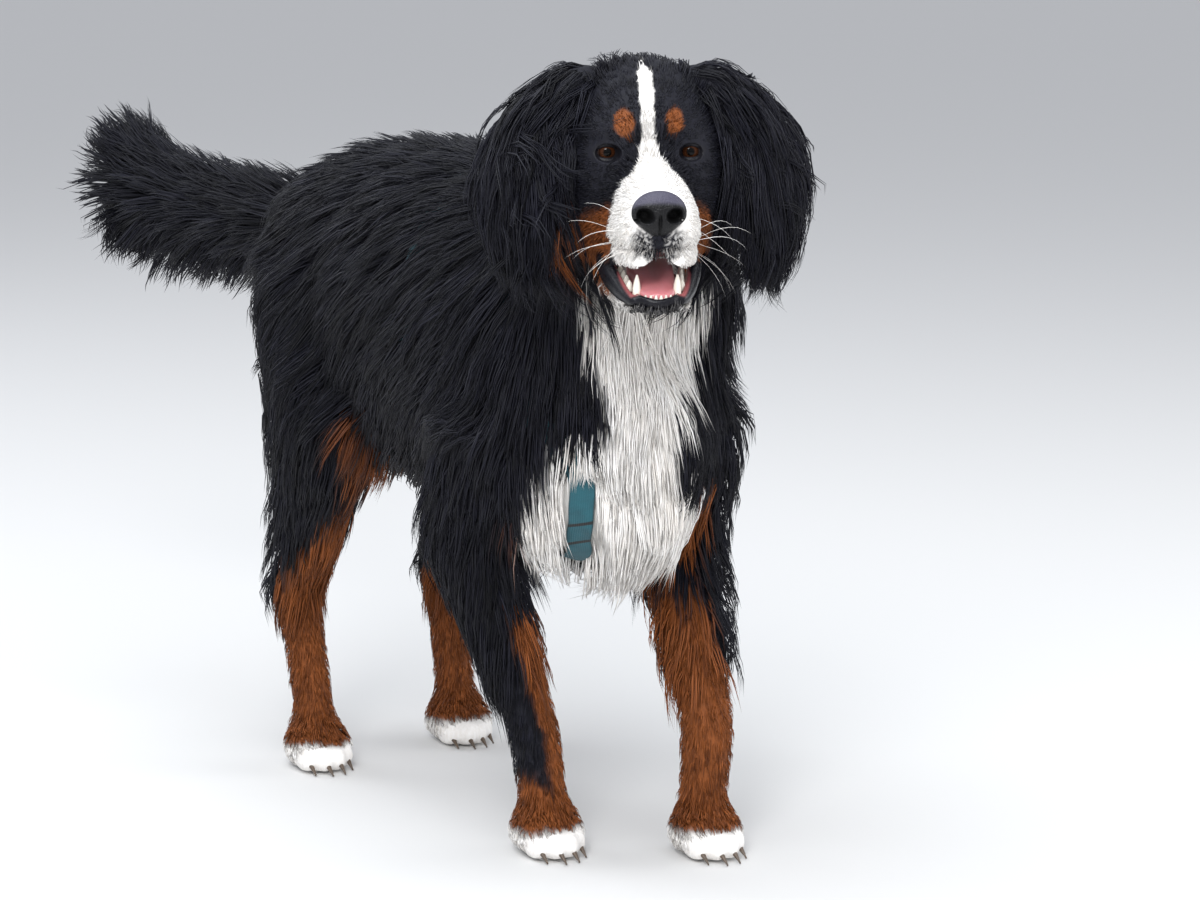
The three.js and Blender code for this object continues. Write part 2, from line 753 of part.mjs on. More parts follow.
function tailLocks(swell = 0) {
  const swing = radians(TAIL_SWING);
  const tailward = vector(-Math.sin(swing), Math.cos(swing), 0.08);
  return coat(tailForm(), {
    seed: 52,
    swell,
    rows: [
      { t: 0.12, from: 0, to: 360, count: 4 },
      { t: 0.34, from: 0, to: 360, count: 5 },
      { t: 0.56, from: 0, to: 360, count: 5 },
      { t: 0.78, from: 0, to: 360, count: 6 },
      { t: 0.96, from: 0, to: 360, count: 5 },
    ],
    styleAt: (root, angle, random) => {
      const under = smoothstep(-Math.sin(angle), -0.4, 0.8);
      const share = clamp((root.y - TAIL_ROOT_Y) / TAIL_LENGTH, 0, 1);
      const atEnd = smoothstep(share, 0.6, 1);
      const down = lerp(lerp(0, -0.7, atEnd), lerp(0.6, 1.2, share), under);
      return {
        lie: tailward.clone().addScaledVector(DOWN, down),
        length: lerp(random(100, 112), lerp(104, 134, share) + random(-6, 6), under),
        halfWidth: random(25, 30),
        thick: 13,
        stand: lerp(lerp(30, 46, atEnd), lerp(46, 84, share), under),
        clear: 6,
        droop: 0.16 * under,
        wave: random(-5, 5),
        cling: 0.5,
      };
    },
  });
}

// Coat of the neck and torso

function neckLocks(others, swell = 0) {
  return coat(neckForm(-COAT_DEPTH), {
    seed: 65,
    swell,
    others,
    rows: [
      { t: 0.36, from: 20, to: 160, count: 3 },
      { t: 0.36, from: 200, to: 340, count: 2 },
      { t: 0.56, from: 0, to: 360, count: 7 },
      { t: 0.8, from: 0, to: 360, count: 7 },
    ],
    styleAt: (root, angle, random) => {
      const front = smoothstep(-Math.sin(angle), -0.2, 0.7);
      return {
        lie: vector(0, lerp(0.9, 0.05, front), -0.8),
        length: random(118, 142),
        halfWidth: random(25, 30),
        thick: 13,
        stand: random(16, 23),
        clear: 4,
        wave: random(-6, 6),
      };
    },
  });
}

function torsoLocks(others, swell = 0) {
  const shape = torsoForm(-COAT_DEPTH);
  const counts = [4, 8, 9, 9, 9, 8, 7, 6];
  return coat(shape, {
    seed: 78,
    swell,
    others,
    shun: SIDES.map(([side]) => hindlegForm(HIND_STANCE[side])),
    rows: counts.map((count, row) => {
      const t = 0.05 + (0.87 * row) / (counts.length - 1);
      return { t, from: -90, to: 270, count };
    }),
    styleAt: (root, angle, random) => {
      if (overHarness(root)) return null;
      const chest = smoothstep(-root.y, 20, 120);
      const belly = smoothstep(-Math.sin(angle), 0.3, 0.95);
      return {
        lie: vector(0, lerp(1, 0.12, chest), lerp(lerp(-0.45, -0.7, belly), -1, chest)),
        length: lerp(random(118, 144), random(90, 110), belly),
        halfWidth: random(27, 32),
        thick: 13,
        stand: lerp(random(15, 22), random(30, 40), belly * (1 - 0.4 * chest)),
        clear: 4,
        wave: random(-6, 6),
        cling: lerp(0.8, 0.35, belly),
      };
    },
  });
}

// Harness: bands of webbing round the body, in the coat. One loop goes round the neck and between the
// forelegs, where it shows on the right of the chest, and the other is the girth.

const GIRTH_Y = 105;
const BAND_LIFT = 3.6;
const SHOWN_LIFT = 14;
const SHOWN = { x: 62, top: 470, bottom: 330, width: 34 };

const overHarness = ({ x, y, z }) =>
  y < -60 && Math.abs(x + SHOWN.x) < SHOWN.width && z > SHOWN.bottom && z < SHOWN.top;

// The outermost point on a ray that still stands at a height over the body
function surfaceAlong(shapes, from, direction, height) {
  const step = 1;
  const point = from.clone().addScaledVector(direction, 320);
  while (heightOverAll(shapes, point) > height) point.addScaledVector(direction, -step);
  return point;
}

// A closed path over the body through the ends of rays, each with its start, direction and lift
function loopPath(shapes, rays, steps) {
  const closed = [...rays, rays[0]];
  const value = (name, axis, t) => between(closed.map((ray) => ray[name][axis]), t);
  return Array.from({ length: steps }, (_, i) => {
    const t = i / steps;
    const from = vector(...[0, 1, 2].map((axis) => value("from", axis, t)));
    const to = vector(...[0, 1, 2].map((axis) => value("to", axis, t))).normalize();
    return surfaceAlong(shapes, from, to, between(closed.map(({ lift }) => lift ?? BAND_LIFT), t));
  });
}

// A band of even width round a closed path
function band(shapes, path, swell = 0) {
  const points = [];
  const faces = [];
  const count = path.length;
  path.forEach((point, i) => {
    const along = path[(i + 1) % count].clone().sub(path[(i + count - 1) % count]).normalize();
    const out = outward(shapes, point);
    out.addScaledVector(along, -out.dot(along)).normalize();
    const across = along.clone().cross(out);
    const half = STRAP_WIDTH / 2 + swell;
    const thick = STRAP_THICKNESS / 2 + swell;
    for (const [a, b] of [[-1, -1], [-1, 1], [1, 1], [1, -1]]) {
      points.push(point.clone().addScaledVector(across, a * half).addScaledVector(out, b * thick));
    }
  });
  for (let i = 0; i < count; i++) {
    const next = ((i + 1) % count) * 4;
    for (let j = 0; j < 4; j++) {
      const after = (j + 1) % 4;
      faces.push(4 * i + j, 4 * i + after, next + j, 4 * i + after, next + after, next + j);
    }
  }
  return indexed(points, faces);
}

function neckLoop(shapes, swell = 0) {
  const half = (sign, lift) => [
    { from: [0, -30, 570], to: [sign, -0.1, 0.25] },
    { from: [sign * 20, -30, 480], to: [sign * 0.8, -0.6, 0] },
    { from: [sign * SHOWN.x, -10, 420], to: [0, -1, 0], lift: lerp(BAND_LIFT, lift, 0.6) },
    { from: [sign * SHOWN.x, -10, 372], to: [0, -1, -0.08], lift },
    { from: [sign * 56, -20, 400], to: [0, -0.55, -0.84], lift: lerp(BAND_LIFT, lift, 0.6) },
    { from: [sign * 36, 0, 420], to: [0, 0, -1] },
  ];
  const rays = [
    { from: [0, -10, 560], to: [0, 0.1, 1] },
    ...half(1, BAND_LIFT),
    { from: [0, GIRTH_Y - STRAP_WIDTH * 1.6, 420], to: [0, 0, -1] },
    ...half(-1, SHOWN_LIFT).reverse(),
  ];
  return band(shapes, loopPath(shapes, rays, 40), swell);
}

function girth(shapes, swell = 0) {
  const rays = [90, 0, -90, 180].map((angle) => ({
    from: [0, GIRTH_Y, 510],
    to: [Math.cos(radians(angle)), 0, Math.sin(radians(angle))],
  }));
  return band(shapes, loopPath(shapes, rays, 26), swell);
}

// The nodes, each with its own colour. The head's pieces hang in a group that is turned with it.

const dog = new THREE.Group();
const headGroup = new THREE.Group();
headGroup.position.set(...EYE_CENTRE);
headGroup.rotation.z = -radians(HEAD_YAW);
dog.add(headGroup);

// Adds a node and keeps its place in the body's frame, so that later nodes are cut clear of it
let taken = null;
function addNode(group, name, solid, color, roughness = 0.9) {
  const isOfHead = group === headGroup;
  const own = isOfHead || !taken ? solid : largest(solid.subtract(taken));
  const geometry = geometryOf(own);
  const mesh = new THREE.Mesh(geometry, new THREE.MeshStandardMaterial({ color, roughness, metalness: 0 }));
  mesh.name = name;
  group.add(mesh);
  const place = isOfHead ? solidOf(inBodyFrame(geometry)) : own;
  taken = taken ? taken.add(place) : place;
}

const BLACK = 0x16161a;
const WHITE = 0xe6e2da;
const TEAL = 0x14404a;

const legForms = SIDES.flatMap(([side]) => [forelegForm(FORE_STANCE[side]), hindlegForm(HIND_STANCE[side])]);
const headForms = [skullForm(), muzzleForm(), jawForm()].map((shape) => moved(shape, headPose));
const earForms = SIDES.map(([, sign]) => moved(earForm(sign, 4), headPose));
const neckCore = neckForm(-COAT_DEPTH);
const torsoCore = torsoForm(-COAT_DEPTH);
const neckNeighbours = [torsoCore, ...headForms, ...earForms, ...legForms];
const torsoNeighbours = [neckCore, ...legForms, tailForm()];
const harnessBed = [torsoCore, neckCore];

// The solids, each with room for itself and the gap to its neighbours

const lockSwell = (swell) => (swell > 0 ? LOCK_GAP : 0);
const harnessSolid = (part, swell) => solidOf(part(harnessBed, swell));
const harnessRoom = join([harnessSolid(neckLoop, GAP), harnessSolid(girth, GAP)]);

const torsoRoom = solidOf(skinOf(torsoForm(GAP - COAT_DEPTH)));
const head = headNode();
const headRoom = joined(
  [skullForm(GAP), muzzleForm(GAP), jawForm(GAP)].map(skinOf).concat(headLocks(LOCK_GAP)).map(inBodyFrame),
);
const earRoom = joined(
  SIDES.flatMap(([, sign]) => [skinOf(earForm(sign, GAP)), ...earLocks(sign, LOCK_GAP)]).map(inBodyFrame),
);

function legSolids(swell) {
  return joined(
    SIDES.flatMap(([side]) => {
      const fore = FORE_STANCE[side];
      const hind = HIND_STANCE[side];
      const bodies = [forelegForm(fore, swell), hindlegForm(hind, swell)].map(skinOf);
      return [...bodies, ...forelegLocks(fore, lockSwell(swell)), ...hindlegLocks(hind, lockSwell(swell))];
    }),
  );
}

const legRoom = legSolids(GAP);
function neckSolid(swell) {
  const locks = neckLocks(neckNeighbours, lockSwell(swell));
  return joined([skinOf(neckForm(swell - COAT_DEPTH)), ...locks]).subtract(torsoRoom);
}

function tailSolid(swell) {
  const locks = tailLocks(lockSwell(swell));
  return joined([skinOf(tailForm(swell)), ...locks]).subtract(torsoRoom);
}

addNode(headGroup, "head", head, BLACK);
addNode(headGroup, "jaw", jawNode(), WHITE);
addNode(headGroup, "tongue", tongueNode(), 0xd98a90, 0.4);
addNode(headGroup, "nose", noseNode(), 0x101014, 0.35);
addNode(dog, "harness_girth", harnessSolid(girth), TEAL, 0.6);
addNode(dog, "harness_neck", harnessSolid(neckLoop), TEAL, 0.6);
for (const [side, sign] of SIDES) {
  addNode(headGroup, `eye_${side}`, ball(eyeAt(sign), Array(3).fill(EYE_RADIUS), 10), 0x2a1408, 0.1);
  addNode(headGroup, `ear_${side}`, earNode(sign, head), BLACK);
  const fore = FORE_STANCE[side];
  const hind = HIND_STANCE[side];
  const foreleg = joined([skinOf(forelegForm(fore)), ...forelegLocks(fore)]);
  const hindleg = joined([skinOf(hindlegForm(hind)), ...hindlegLocks(hind)]);
  const pawRooms = [fore, hind].map(({ foot }) => solidOf(skinOf(pawForm(foot, GAP))));
  const legCut = join([torsoRoom, harnessRoom, ...pawRooms]);
  addNode(dog, `foreleg_${side}`, foreleg.subtract(legCut), BLACK);
  addNode(dog, `hindleg_${side}`, hindleg.subtract(legCut), BLACK);
  addNode(dog, `forepaw_${side}`, pawNode(fore.foot), WHITE);
  addNode(dog, `hindpaw_${side}`, pawNode(hind.foot), WHITE);
}
addNode(dog, "neck", neckSolid(0).subtract(join([headRoom, earRoom, legRoom, harnessRoom])), BLACK);
const torsoShun = join([neckSolid(GAP), legRoom, tailSolid(GAP)]);
const torsoLocksLeft = joined(torsoLocks(torsoNeighbours)).subtract(torsoShun);
addNode(dog, "torso", solidOf(skinOf(torsoCore)).add(torsoLocksLeft).subtract(harnessRoom), BLACK);
addNode(dog, "tail", tailSolid(0), BLACK);

// The origin is at the middle of the box, on the floor
dog.updateMatrixWorld(true);
const box = new THREE.Box3().setFromObject(dog, true);
const middle = box.getCenter(new THREE.Vector3());
dog.position.set(-middle.x, -middle.y, -box.min.z);

export default dog;
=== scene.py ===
"""A life-size still model of a Bernese mountain dog, standing with its head turned and its mouth open.

Forms are given in millimetres in the dog's own frame: it faces -y, its left is +x, and the floor is z = 0.
The head has a frame of its own, between the eyes, turned to the dog's right.
"""

import math

import bpy
import numpy as np
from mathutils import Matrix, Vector


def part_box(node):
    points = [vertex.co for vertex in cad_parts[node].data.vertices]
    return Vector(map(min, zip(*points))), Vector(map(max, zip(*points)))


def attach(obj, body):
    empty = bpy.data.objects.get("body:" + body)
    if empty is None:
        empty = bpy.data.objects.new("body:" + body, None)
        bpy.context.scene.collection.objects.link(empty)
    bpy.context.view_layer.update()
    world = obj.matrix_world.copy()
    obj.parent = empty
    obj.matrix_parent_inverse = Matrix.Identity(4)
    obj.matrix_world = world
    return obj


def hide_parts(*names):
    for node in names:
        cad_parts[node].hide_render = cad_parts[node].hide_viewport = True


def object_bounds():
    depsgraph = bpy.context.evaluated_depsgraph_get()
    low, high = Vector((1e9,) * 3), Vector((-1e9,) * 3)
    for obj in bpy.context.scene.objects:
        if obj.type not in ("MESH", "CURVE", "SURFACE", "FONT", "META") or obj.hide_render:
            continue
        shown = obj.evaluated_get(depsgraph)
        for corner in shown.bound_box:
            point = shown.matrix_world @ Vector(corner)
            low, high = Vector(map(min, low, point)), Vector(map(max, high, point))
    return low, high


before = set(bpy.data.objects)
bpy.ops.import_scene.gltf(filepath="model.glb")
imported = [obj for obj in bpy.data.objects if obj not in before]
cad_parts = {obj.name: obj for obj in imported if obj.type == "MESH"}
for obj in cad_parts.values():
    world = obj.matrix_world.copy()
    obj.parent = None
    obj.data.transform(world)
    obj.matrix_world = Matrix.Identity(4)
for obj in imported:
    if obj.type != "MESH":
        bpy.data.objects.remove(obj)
cad_low, cad_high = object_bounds()

# Driving sizes, as in the solids

COAT_DEPTH = 17
EYE_CENTRE = np.array([-61.0, -242.0, 731.0])
HEAD_YAW = math.radians(25.5)
EYE_SPACING = 77
EYE_BACK = 2
EYE_RADIUS = 12
NOSE_AT = np.array([-2.0, -110.0, -44.5])
TAIL_LENGTH = 364
TAIL_ROOT_Y = 540
TAIL_SWING = math.radians(15)
FORE_JOINTS = ("shoulder", "elbow", "carpus", "foot")
HIND_JOINTS = ("hip", "stifle", "hock", "foot")
FORE_STANCE = {
    "left": dict(zip(FORE_JOINTS, ((112, -42, 450), (112, -18, 318), (96, -104, 128), (94, -100, 52)))),
    "right": dict(zip(FORE_JOINTS, ((-108, -22, 450), (-102, 20, 318), (-50, -6, 128), (-42, -14, 52)))),
}
HIND_STANCE = {
    "left": dict(zip(HIND_JOINTS, ((90, 425, 560), (106, 335, 372), (98, 448, 192), (98, 424, 52)))),
    "right": dict(zip(HIND_JOINTS, ((-90, 418, 560), (-106, 322, 372), (-94, 430, 192), (-90, 404, 52)))),
}
SIDES = {"left": 1, "right": -1}
SIDE_NAMES = {1: "left", -1: "right"}
FEET = [stance[side]["foot"] for stance in (FORE_STANCE, HIND_STANCE) for side in SIDES]
TOE_PLACES = (-1.5, -0.5, 0.5, 1.5)
BACK = np.array([0.0, 1.0, 0.0])
UP = np.array([0.0, 0.0, 1.0])
DOWN = -UP
X_AXIS = np.array([1.0, 0.0, 0.0])

HEAD_TURN = np.array([
    [math.cos(HEAD_YAW), math.sin(HEAD_YAW), 0],
    [-math.sin(HEAD_YAW), math.cos(HEAD_YAW), 0],
    [0, 0, 1],
])


def to_body(points):
    """Points of the head's frame in the dog's frame"""
    return np.asarray(points, float) @ HEAD_TURN.T + EYE_CENTRE


def to_head(points):
    """Points of the dog's frame in the head's frame"""
    return (np.asarray(points, float) - EYE_CENTRE) @ HEAD_TURN


def eye_at(sign):
    return np.array([sign * EYE_SPACING / 2, EYE_BACK, 0.0])


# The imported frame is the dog's frame moved so that its box is centred
eye_low, eye_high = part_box("eye_left")
SHIFT = np.array((eye_low + eye_high) / 2) * 1000 - to_body(eye_at(1))
SHIFT[2] = 0
SIDE_ROOM = cad_high[0] * 1000 + 17  # how far out from the middle hair may reach to the sides


def metres(points):
    return (np.asarray(points, float) + SHIFT) / 1000


# Small sums

def unit(vectors):
    return vectors / np.maximum(np.linalg.norm(vectors, axis=-1, keepdims=True), 1e-9)


def dot(a, b):
    return np.sum(a * b, axis=-1, keepdims=True)


def lerp(a, b, share):
    return a + (b - a) * share


def step(value, low, high):
    """0 below low, 1 above high, smooth between"""
    share = np.clip((np.asarray(value, float) - low) / (high - low), 0, 1)
    return share * share * (3 - 2 * share)


def between(values, t):
    """Values at shares t of the way along their keys, on a Catmull-Rom curve"""
    values = np.asarray(values, float)
    last = len(values) - 1
    i = np.clip(np.floor(t * last).astype(int), 0, last - 1)
    f = t * last - i
    p0, p1 = values[np.maximum(i - 1, 0)], values[i]
    p2, p3 = values[i + 1], values[np.minimum(i + 2, last)]
    bend = 2 * p0 - 5 * p1 + 4 * p2 - p3
    twist = 3 * (p1 - p2) + p3 - p0
    return p1 + 0.5 * f * (p2 - p0 + f * (bend + f * twist))


# Forms: rows of parallel oval rings, as in the solids

REACHES = ("side", "rise", "fall")
SCATTER_ROWS, SCATTER_COLUMNS = 40, 48
EVEN_STEPS = (0.7548776662, 0.5698402910)  # steps that fill a square evenly, without clumps


class Form:
    """A closed form through key rings. Each key has its place, half width, rise and fall."""

    def __init__(self, keys, along=BACK, side=X_AXIS, swell=0.0, of_head=False, samples=60):
        self.t = np.linspace(0, 1, samples)
        self.size = {name: between([key[name] for key in keys], self.t) for name in REACHES}
        self.size["power"] = between([key.get("power", 2) for key in keys], self.t)
        self.size["lean"] = between([key.get("lean", 0) for key in keys], self.t)
        for name in REACHES:
            self.size[name] = np.maximum(self.size[name] + swell, 1)
        self.along, self.side = unit(np.asarray(along, float)), unit(np.asarray(side, float))
        self.rise = unit(np.cross(self.side, self.along))
        places = np.array([key["at"] for key in keys], float)
        self.centre = np.stack([between(places[:, axis], self.t) for axis in range(3)], -1)
        self.centre = self.centre + np.outer(swell * (2 * self.t - 1), self.along)
        if of_head:
            self.centre = to_body(self.centre)
            self.along = HEAD_TURN @ self.along
            self.side = HEAD_TURN @ self.side
            self.rise = HEAD_TURN @ self.rise
        self.places = self.centre @ self.along

    def at(self, name, t):
        return np.interp(t, self.t, self.size[name])

    def point(self, t, angle):
        """Surface points at shares t of the length and angles in radians"""
        centre = np.stack([np.interp(t, self.t, self.centre[:, axis]) for axis in range(3)], -1)
        power = 2 / self.at("power", t)
        across = np.sign(np.cos(angle)) * np.abs(np.cos(angle)) ** power
        up = np.sign(np.sin(angle)) * np.abs(np.sin(angle)) ** power
        reach = np.where(up > 0, self.at("rise", t), self.at("fall", t))
        width = self.at("side", t) * (1 - self.at("lean", t) * up)
        return centre + np.outer(across * width, self.side) + np.outer(up * reach, self.rise)

    def height(self, points):
        """How far points stand over the surface, less than 0 inside"""
        place = points @ self.along
        inside = np.clip(place, self.places[0], self.places[-1])
        t = np.interp(inside, self.places, self.t)
        centre = np.stack([np.interp(t, self.t, self.centre[:, axis]) for axis in range(3)], -1)
        offset = points - centre
        x, y = offset @ self.side, offset @ self.rise
        far = np.maximum(np.hypot(x, y), 1e-3)
        power = self.at("power", t)
        reach = np.where(y > 0, self.at("rise", t), self.at("fall", t))
        width = self.at("side", t) * (1 - self.at("lean", t) * np.clip(y / reach, -1, 1))
        share = (np.abs(x) / width) ** power + (np.abs(y) / reach) ** power
        height = far - far / np.maximum(share, 1e-6) ** (1 / power)
        beyond = np.maximum(self.places[0] - place, place - self.places[-1])
        return np.where(beyond > 0, np.hypot(beyond, np.maximum(height, 0)), np.maximum(height, beyond))

    def scatter(self, count, rng, t_span=(0, 1), angle_span=(0, 2 * math.pi)):
        """Shares, angles and points spread evenly over the surface"""
        edges_t = np.linspace(*t_span, SCATTER_ROWS + 1)
        edges_a = np.linspace(*angle_span, SCATTER_COLUMNS + 1)
        middles_t, middles_a = (edges_t[:-1] + edges_t[1:]) / 2, (edges_a[:-1] + edges_a[1:]) / 2
        t, angle = np.meshgrid(middles_t, middles_a, indexing="ij")
        shape = t.shape
        near = self.point(t.ravel(), angle.ravel()).reshape(*shape, 3)
        by_t = np.gradient(near, axis=0)
        by_angle = np.gradient(near, axis=1)
        area = np.linalg.norm(np.cross(by_t, by_angle), axis=-1)
        rows = np.concatenate([[0], np.cumsum(area.sum(1))])
        k = np.arange(count)
        first, second = ((0.5 + k * even_step) % 1 for even_step in EVEN_STEPS)
        at_t = np.interp(first * rows[-1], rows, edges_t)
        row = np.clip(np.searchsorted(edges_t, at_t) - 1, 0, shape[0] - 1)
        columns = np.concatenate([np.zeros((shape[0], 1)), np.cumsum(area, 1)], 1)[row]
        wanted = second * columns[:, -1]
        cell = np.clip((columns <= wanted[:, None]).sum(1) - 1, 0, shape[1] - 1)
        rest = (wanted - columns[k, cell]) / np.maximum(columns[k, cell + 1] - columns[k, cell], 1e-9)
        at_angle = edges_a[cell] + rest * (edges_a[1] - edges_a[0])
        jitter = rng.uniform(-0.3, 0.3, (2, count))
        at_t = np.clip(at_t + jitter[0] * (edges_t[1] - edges_t[0]) * 0.3, *t_span)
        at_angle = at_angle + jitter[1] * (edges_a[1] - edges_a[0]) * 0.3
        return at_t, at_angle, self.point(at_t, at_angle)

    def shell(self, rings, sides):
        """Points and faces of the closed surface"""
        t, angle = np.meshgrid(np.linspace(0, 1, rings), turns_of(sides), indexing="ij")
        points = self.point(t.ravel(), angle.ravel())
        return np.concatenate([points, self.centre[:1], self.centre[-1:]]), ring_faces(rings, sides)


def turns_of(sides):
    """Angles of one whole turn in equal steps"""
    return np.linspace(0, 2 * math.pi, sides, endpoint=False)


def ring_faces(rings, sides):
    """Faces of a closed row of rings, whose two end points come after the rings"""
    i, j = np.meshgrid(np.arange(rings - 1), np.arange(sides), indexing="ij")
    a, b = (i * sides + j).ravel(), (i * sides + (j + 1) % sides).ravel()
    faces = [tuple(face) for face in np.stack([a, a + sides, b + sides, b], 1)]
    start, last = rings * sides, (rings - 1) * sides
    for j in range(sides):
        following = (j + 1) % sides
        faces.append((start, j, following))
        faces.append((start + 1, last + following, last + j))
    return faces


def unit_ball(rings, sides):
    """Points and faces of a ball of radius 1, in rings from its front to its back"""
    rise, turn = np.meshgrid(np.linspace(0, math.pi, rings + 2)[1:-1], turns_of(sides), indexing="ij")
    points = np.stack([np.sin(rise) * np.cos(turn), -np.cos(rise), np.sin(rise) * np.sin(turn)], -1)
    return np.concatenate([points.reshape(-1, 3), [[0, -1, 0], [0, 1, 0]]]), ring_faces(rings, sides)


def level(y, top, bottom, side, **extra):
    """A ring of a form that runs back, from its top, bottom and half width"""
    middle = (top + bottom) / 2
    return {"at": (0, y, middle), "side": side, "rise": top - middle, "fall": middle - bottom, **extra}


def ring(at, side, rise, fall=None):
    return {"at": tuple(at), "side": side, "rise": rise, "fall": rise if fall is None else fall}


def mixed(a, b, share):
    return tuple(lerp(np.asarray(a, float), np.asarray(b, float), share))


def torso_form(swell=0):
    keys = [
        level(-162, 486, 380, 50),
        level(-140, 530, 332, 92),
        level(-85, 604, 296, 134, power=2.2),
        level(-10, 680, 300, 150, power=2.2),
        level(80, 708, 318, 150, power=2.2),
        level(190, 710, 330, 148, power=2.2),
        level(300, 704, 352, 142, power=2.2),
        level(385, 692, 392, 138, power=2.2),
        level(450, 676, 426, 130, power=2.2),
        level(512, 654, 458, 106, power=2.1),
        level(556, 630, 496, 68),
    ]
    return Form(keys, swell=swell)


def brisket_form(swell=0):
    """The rounded front of the chest"""
    keys = [
        level(-174, 456, 404, 18),
        level(-166, 484, 380, 38),
        level(-148, 510, 354, 60),
        level(-112, 546, 320, 84),
    ]
    return Form(keys, swell=swell)


def neck_form(swell=0):
    keys = [
        ring((-4, -108, 748), 70, 56),
        ring((0, -98, 706), 90, 82, 76),
        ring((6, -74, 642), 112, 96),
        ring((8, -40, 572), 125, 98, 112),
        ring((2, -4, 500), 125, 92, 122),
    ]
    return Form(keys, along=(0, 0.42, -0.9), swell=swell)


def skull_form(swell=0):
    keys = [
        level(-24, 14, -78, 40),
        level(-12, 40, -96, 56),
        level(8, 66, -112, 72),
        level(40, 82, -126, 82),
        level(80, 84, -122, 86),
        level(118, 74, -104, 80),
        level(146, 52, -70, 62),
    ]
    return Form(keys, of_head=True, swell=swell)


def muzzle_form(swell=0):
    keys = [
        level(-118, -38, -70, 14),
        level(-112, -28, -80, 27),
        level(-98, -20, -87, 37, lean=0.12, power=2.4),
        level(-72, -12, -92, 42, lean=0.22, power=2.6),
        level(-40, -4, -97, 43, lean=0.28, power=2.6),
        level(-14, 6, -102, 47, lean=0.28, power=2.4),
        level(20, 10, -104, 54, lean=0.2),
    ]
    return Form(keys, of_head=True, swell=swell)


def jaw_form(swell=0):
    keys = [
        level(-95, -122, -134, 12),
        level(-86, -117, -139, 23),
        level(-66, -114, -143, 28),
        level(-36, -110, -145, 31),
        level(0, -104, -145, 34),
        level(30, -96, -145, 38),
    ]
    return Form(keys, of_head=True, swell=swell)


def mouth_form():
    keys = [
        level(-104, -76, -140, 17),
        level(-84, -72, -140, 28),
        level(-50, -72, -140, 32),
        level(-10, -74, -130, 31),
        level(24, -80, -118, 26),
    ]
    return Form(keys, of_head=True)


def trough_form():
    keys = [
        level(-96, -100, -125.5, 13),
        level(-88, -100, -127, 20),
        level(-70, -96, -128, 25),
        level(-30, -92, -126, 28),
        level(24, -90, -120, 28),
    ]
    return Form(keys, of_head=True)


def tongue_form():
    keys = [
        level(-90, -121, -127, 8),
        level(-83, -116.5, -128, 15.5),
        level(-64, -109, -128, 19),
        level(-30, -100, -126, 21),
        level(10, -94, -120, 22),
    ]
    return Form(keys, of_head=True)


def lower_lip_form(sign, swell=0):
    """The loose edge of the lower lip, from the chin back to the corner of the mouth"""
    keys = [
        ring((sign * 21, -88, -128), 3.5, 3.5),
        ring((sign * 27, -76, -124), 4.5, 5, 8),
        ring((sign * 35, -50, -115), 6, 10, 13),
        ring((sign * 41, -20, -103), 7, 13, 16),
        ring((sign * 43, 10, -97), 5, 9, 9),
    ]
    return Form(keys, of_head=True, swell=swell)


def chin_lip_form(swell=0):
    """The front rim of the lower lip, from side to side"""
    keys = []
    for turn in np.radians(np.linspace(-78, 78, 9)):
        lift = 4 * abs(math.sin(turn))
        keys.append(ring((27.5 * math.sin(turn), -60 - 34 * math.cos(turn), -129.5 + lift), 3.6, 4.6))
    return Form(keys, along=X_AXIS, side=BACK, of_head=True, swell=swell)


def upper_lip_form(sign, swell=0):
    """The hanging edge of the flews, from under the nose back to the corner of the mouth"""
    keys = [
        ring((sign * 5, -105, -82), 4, 4, 5),
        ring((sign * 17, -100, -87), 5, 8, 8),
        ring((sign * 27, -84, -88), 5, 8, 7),
        ring((sign * 34, -52, -90), 5, 8, 7),
        ring((sign * 39, -8, -92), 5, 6, 6),
    ]
    return Form(keys, of_head=True, swell=swell)


def lid_form(sign, above):
    """One eyelid, a curved roll over or under the eye"""
    x, y, z = eye_at(sign)
    keys = []
    for turn in np.radians(np.linspace(-76, 76, 9)):
        lift = above * (math.cos(turn) * 8.3 - 0.8) - 0.7 * abs(math.sin(turn))
        thick = 1.7 + 1.5 * math.cos(turn)
        at = (x + math.sin(turn) * 12.4, y - 9.4 * math.cos(turn), z + lift)
        keys.append(ring(at, thick + 0.6, thick))
    return Form(keys, along=X_AXIS, side=BACK, of_head=True)


def ear_root_form(sign, swell=0):
    """The fold between the side of the skull and the top of the ear. Its rise runs down here."""
    keys = [
        ring((sign * 40, 52, 62), 14, 14, 12),
        ring((sign * 60, 50, 56), 28, 30, 20),
        ring((sign * 80, 48, 48), 30, 40, 20),
        ring((sign * 97, 46, 32), 20, 34, 18),
    ]
    if sign < 0:
        keys = keys[::-1]
    return Form(keys, along=X_AXIS, side=BACK, of_head=True, swell=swell)


def ear_form(sign, swell=0):
    keys = [
        ring((sign * 78, 46, 64), 13, 6),
        ring((sign * 88, 45, 54), 26, 10),
        ring((sign * 103, 42, 30), 37, 11),
        ring((sign * 112, 37, -12), 37, 11),
        ring((sign * 112, 31, -52), 27, 9),
        ring((sign * 110, 28, -80), 12, 6),
    ]
    return Form(keys, along=DOWN, side=(sign * 0.8, 0.6, 0), of_head=True, swell=swell)


def foreleg_form(stance, swell=0):
    shoulder, elbow, carpus, foot = (stance[name] for name in FORE_JOINTS)
    keys = [
        ring(shoulder, 42, 56, 62),
        ring(mixed(shoulder, elbow, 0.55), 45, 52, 54),
        ring(elbow, 42, 42),
        ring(mixed(elbow, carpus, 0.4), 35, 32, 35),
        ring(mixed(elbow, carpus, 0.78), 29, 27, 29),
        ring(carpus, 27, 25, 27),
        ring(foot, 24, 24, 26),
        ring((foot[0], foot[1] - 4, 26), 22, 22, 24),
    ]
    return Form(keys, along=DOWN, swell=swell)


